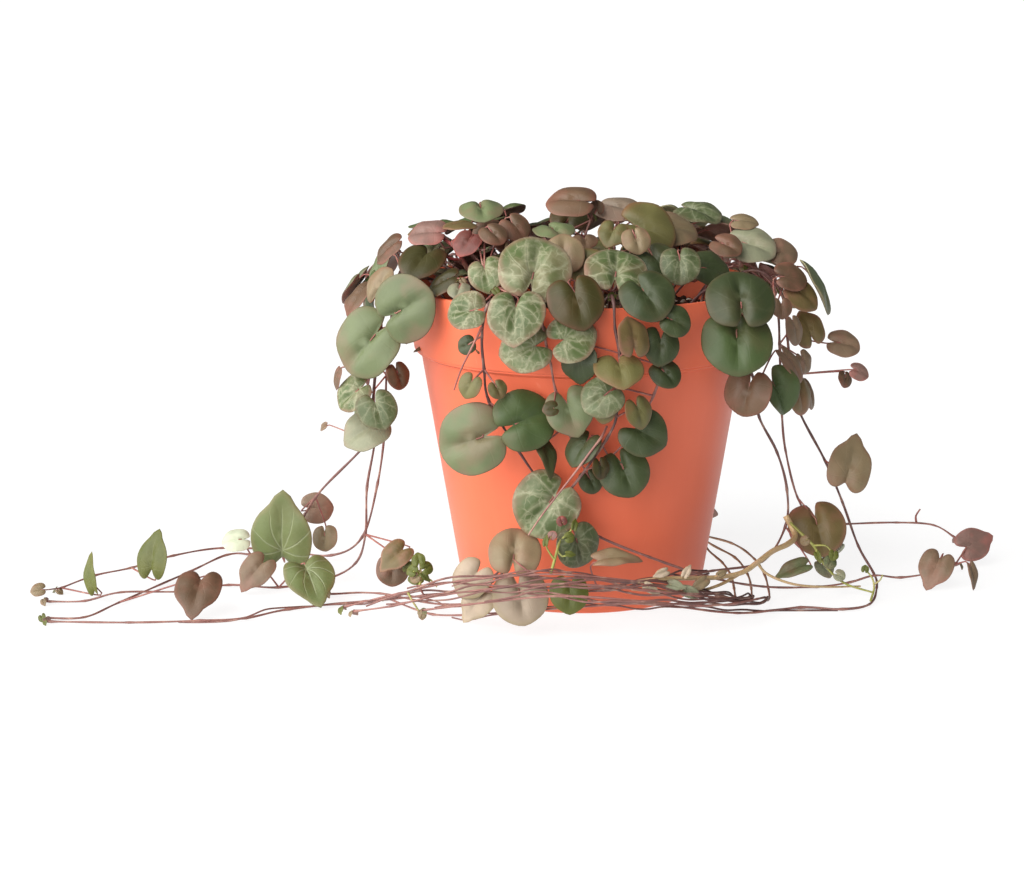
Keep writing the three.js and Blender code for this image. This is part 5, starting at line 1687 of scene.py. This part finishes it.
@dataclass
class NurseryPot:
    """The moulded pot: tapered body, rim band over a small ledge, rolled lip and drain holes."""

    sizes: PotSizes = POT
    segments: int = 160
    fillet: float = 0.5  # the rounding of the rim band's lower edge
    hollow: float = 0.5  # how far the bottom stands up inside its foot ring
    foot: float = 5.0  # how wide that ring is
    crease: float = 32.0  # the angle from which an edge is sharp, in degrees

    def build(self) -> bpy.types.Object:
        """Makes the pot's piece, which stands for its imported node."""
        p, f = self.sizes, self.fillet
        lip = p.wall / 2
        inner = [(p.rim_radius - p.wall - 0.1, p.height - p.lip), (p.band_radius - p.wall, p.band_foot + 1),
                 (p.body_radius - p.wall, p.body_top), (p.base_radius - p.wall + 0.3, p.floor + 1.2),
                 (p.base_radius - p.wall - 1.2, p.floor), (0.0, p.floor)]
        profile = [
            (0.0, self.hollow), (p.base_radius - self.foot, self.hollow),
            (p.base_radius - self.foot + 0.6, 0.0),
            *arc((p.base_radius - p.base_edge, p.base_edge), p.base_edge, -90, 0, 5),
            (p.radius_at(p.body_top / 2), p.body_top / 2), (p.body_radius - 0.02, p.body_top - 0.6),
            (p.body_radius + 0.1, p.body_top), (p.band_radius - f, p.band_foot - f - 0.2),
            *arc((p.band_radius - f, p.band_foot + f - 0.2), f, -90, 8, 4),
            (p.radius_at((p.band_foot + p.height) / 2), (p.band_foot + p.height) / 2),
            *arc((p.rim_radius - lip, p.height - lip), lip, 5, 175, 8), *inner]
        made = new_object("pot_source", turned("pot", profile, self.segments))
        cutter = new_object("pot_drill", self._drill())
        drill = made.modifiers.new("drain_holes", "BOOLEAN")
        drill.object, drill.operation, drill.solver = cutter, "DIFFERENCE", "EXACT"
        made.data.materials.append(PlasticFinish().material())
        piece = finished(made, "nursery_pot", "pot", "pot")
        piece.data.set_sharp_from_angle(angle=math.radians(self.crease))
        bpy.data.objects.remove(cutter)
        return piece

    def _drill(self) -> bpy.types.Mesh:
        """The six drain holes as one cutting body."""
        body = bmesh.new()
        ring, radius = self.sizes.hole_ring * MM, self.sizes.hole_radius * MM
        for i in range(self.sizes.holes):
            turn = 2 * math.pi * i / self.sizes.holes
            bmesh.ops.create_cone(
                body, cap_ends=True, segments=32, radius1=radius, radius2=radius,
                depth=8 * self.sizes.floor * MM,
                matrix=Matrix.Translation((ring * math.cos(turn), ring * math.sin(turn), 0)))
        return moulded("pot_drill", body)


@dataclass(frozen=True)
class Grains:
    """Loose grains of one kind: how many, their range of sizes, their shape and their draws' seed."""

    name: str
    finish: Finish
    count: int
    sizes: Span
    shape: Point
    seed: int


@dataclass
class PottingSoil:
    """The bed of peaty soil with loose grains, bark chips and perlite on top."""

    edge: float = 57.0
    rings: int = 40
    segments: int = 120
    rough: float = 1.1
    kinds: tuple[Grains, ...] = (
        Grains("soil_crumbs", EarthFinish(), 1500, (0.7, 1.9), (1.0, 0.8, 0.6), 21),
        Grains("soil_bark", BarkChipFinish(), 170, (1.0, 2.6), (1.9, 0.7, 0.35), 22),
        Grains("soil_perlite", PerliteFinish(), 120, (0.6, 1.5), (1.0, 0.9, 0.8), 23),
    )

    def build(self) -> list[bpy.types.Object]:
        """Makes the bed, which stands for the packed soil, and what lies on it."""
        bed = new_object("soil_source", self._bed_mesh())
        bed.data.materials.append(EarthFinish().material())
        tree = self._tree()
        area = math.pi * (self.edge * MM) ** 2
        pieces = []
        for kind in self.kinds:
            stock = self._stock(kind)
            made = new_object(kind.name + "_source", bed.data.copy())
            smallest, largest = kind.sizes
            run_tree(made, tree, {
                "Grains": stock, "Density": kind.count / area, "Seed": kind.seed,
                "Smallest": smallest * MM, "Largest": largest * MM, "Finish": kind.finish.material()})
            piece = finished(made, kind.name, "soil")
            piece.data.shade_smooth()
            pieces.append(piece)
            discard(stock)
        return [finished(bed, "soil_bed", "soil", "soil"), *pieces]

    def height_at(self, x: float, y: float) -> float:
        """The soil's height at a place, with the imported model's low lumps and finer ones."""
        low = SOIL.bump * 0.5 * (math.sin(0.23 * x + 1.3) * math.cos(0.19 * y)
                                 + math.sin(0.11 * x - 0.31 * y + 0.7))
        fine = noise.fractal(Vector((x, y, 0.0)) * 0.22, 1.0, 2.0, 4) * self.rough
        return SOIL.top + low + min(fine, 0.9)

    def _bed_mesh(self) -> bpy.types.Mesh:
        """The bed's body: its lumpy top, and its side down to the pot's floor."""
        gap = SOIL.gap
        room = POT.wall + gap
        side = [(0.0, POT.floor + gap), (POT.base_radius - room, POT.floor + gap),
                (POT.body_radius - room, POT.body_top), (POT.band_radius - room, POT.band_foot + 1)]
        top = [(self.edge * (self.rings - i) / self.rings, SOIL.top) for i in range(self.rings + 1)]
        mesh = turned("soil", [*side, *top], self.segments)
        for vertex in mesh.vertices:
            x, y, z = (c / MM for c in vertex.co)
            if z > SOIL.top - 0.5:
                vertex.co.z = self.height_at(x, y) * MM
        return mesh

    def _tree(self) -> bpy.types.NodeTree:
        """The geometry tree that strews grains over the bed's top."""
        nodes, wires = geometry_tree("strewn_grains", {
            "Grains": "Collection", "Density": "Float", "Seed": "Int",
            "Smallest": "Float", "Largest": "Float", "Finish": "Material"})
        height = nodes.add("GeometryNodeInputPosition").axis(2)
        top = nodes.add("FunctionNodeCompare", {"data_type": "FLOAT", "operation": "GREATER_THAN"},
                        {0: height, 1: (SOIL.top - 4) * MM})
        points = nodes.add("GeometryNodeDistributePointsOnFaces", {}, {
            "Mesh": wires["Geometry"], "Selection": top, "Density": wires["Density"],
            "Seed": wires["Seed"]})
        turn = nodes.add("FunctionNodeRandomValue", {"data_type": "FLOAT_VECTOR"},
                         {0: (0.0, 0.0, 0.0), 1: (0.7, 0.7, 2 * math.pi), "Seed": wires["Seed"]})
        size = nodes.add("FunctionNodeRandomValue", {"data_type": "FLOAT"},
                         {2: wires["Smallest"], 3: wires["Largest"], "Seed": wires["Seed"]}, 1)
        grains = nodes.strewn(points, wires["Grains"], wires["Finish"], {"Rotation": turn, "Scale": size})
        nodes.add("NodeGroupOutput", {}, {0: grains})
        return nodes.tree

    @staticmethod
    def _stock(kind: Grains) -> bpy.types.Collection:
        """A few lumps of radius 1, squashed to a kind's shape, in a collection outside the scene."""
        stock = bpy.data.collections.new(kind.name + "_stock")
        for i in range(4):
            lump = bmesh.new()
            bmesh.ops.create_icosphere(lump, subdivisions=2, radius=1.0)
            for vertex in lump.verts:
                swell = 1 + 0.55 * noise.noise(vertex.co * 1.3 + Vector((kind.seed, 7 * i, 0)))
                vertex.co = Vector(c * s for c, s in zip(vertex.co * swell, kind.shape))
            name = f"{kind.name}_{i}"
            stock.objects.link(bpy.data.objects.new(name, moulded(name, lump)))
        return stock


# ---- The scene -----------------------------------


@dataclass
class Studio:
    """A pale floor, soft light from the left and the camera."""

    eye: Point = (0.0, -750.0, 218.0)
    pitch: float = 12.5  # how far the camera looks down, in degrees
    lens: float = 77.0
    sensor: float = 36.0
    shift: float = -0.0684
    reach: float = 200.0  # how far the camera sees, in metres
    floor_size: float = 60.0  # in metres
    key_from: Point = (-0.75, -0.51, 0.3)
    key_power: float = 9.1
    key_spread: float = 100.0  # in degrees
    key_tint: Colour = (1.0, 0.985, 0.96)
    surround: float = 0.15

    def camera(self) -> None:
        """Sets the camera."""
        data = bpy.data.cameras.new("camera")
        data.lens, data.sensor_width, data.shift_x = self.lens, self.sensor, self.shift
        data.clip_end = self.reach
        camera = new_object("camera", data)
        camera.location = [c * MM for c in self.eye]
        camera.rotation_euler = Euler((math.radians(90 - self.pitch), 0, 0))
        bpy.context.scene.camera = camera

    def light(self) -> None:
        """Sets a soft sun from the left and a pale surrounding."""
        data = bpy.data.lights.new("key", "SUN")
        data.energy, data.angle, data.color = self.key_power, math.radians(self.key_spread), self.key_tint
        lamp = new_object("key", data)
        lamp.rotation_euler = Vector(self.key_from).to_track_quat("Z", "Y").to_euler()
        world = bpy.data.worlds.new("surround")
        world.use_nodes = True
        background = world.node_tree.nodes["Background"]
        background.inputs["Color"].default_value = (1.0, 1.0, 1.0, 1.0)
        background.inputs["Strength"].default_value = self.surround
        bpy.context.scene.world = world
        bpy.context.scene.view_settings.view_transform = "Standard"

    def floor(self) -> None:
        """Lays the floor, which isn't part of the plant."""
        half = self.floor_size / 2 / MM
        corners = np.array([(-half, -half, 0), (half, -half, 0), (half, half, 0), (-half, half, 0)], float)
        made = new_object("floor", mesh_from("floor", corners, (), [(0, 1, 2, 3)]))
        made.data.materials.append(FloorFinish().material())


def main() -> None:
    """Builds the scene in order."""
    logging.basicConfig(level=logging.INFO, format="%(name)s: %(message)s")
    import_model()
    studio = Studio()
    studio.camera()
    studio.light()
    studio.floor()
    NurseryPot().build()
    PottingSoil().build()
    vines = [*VINES, *CrownRule().vines(), *CurtainRule().vines()]
    settled = Foliage(vines).settle()
    blades = BladeSet()
    builder = VineBuilder(blades)
    for vine in vines:
        builder.build(vine, settled[vine.name])
    for sprig in SPRIGS:
        builder.build_sprig(sprig)
    discard(blades.stock)


if __name__ == "__main__":
    main()
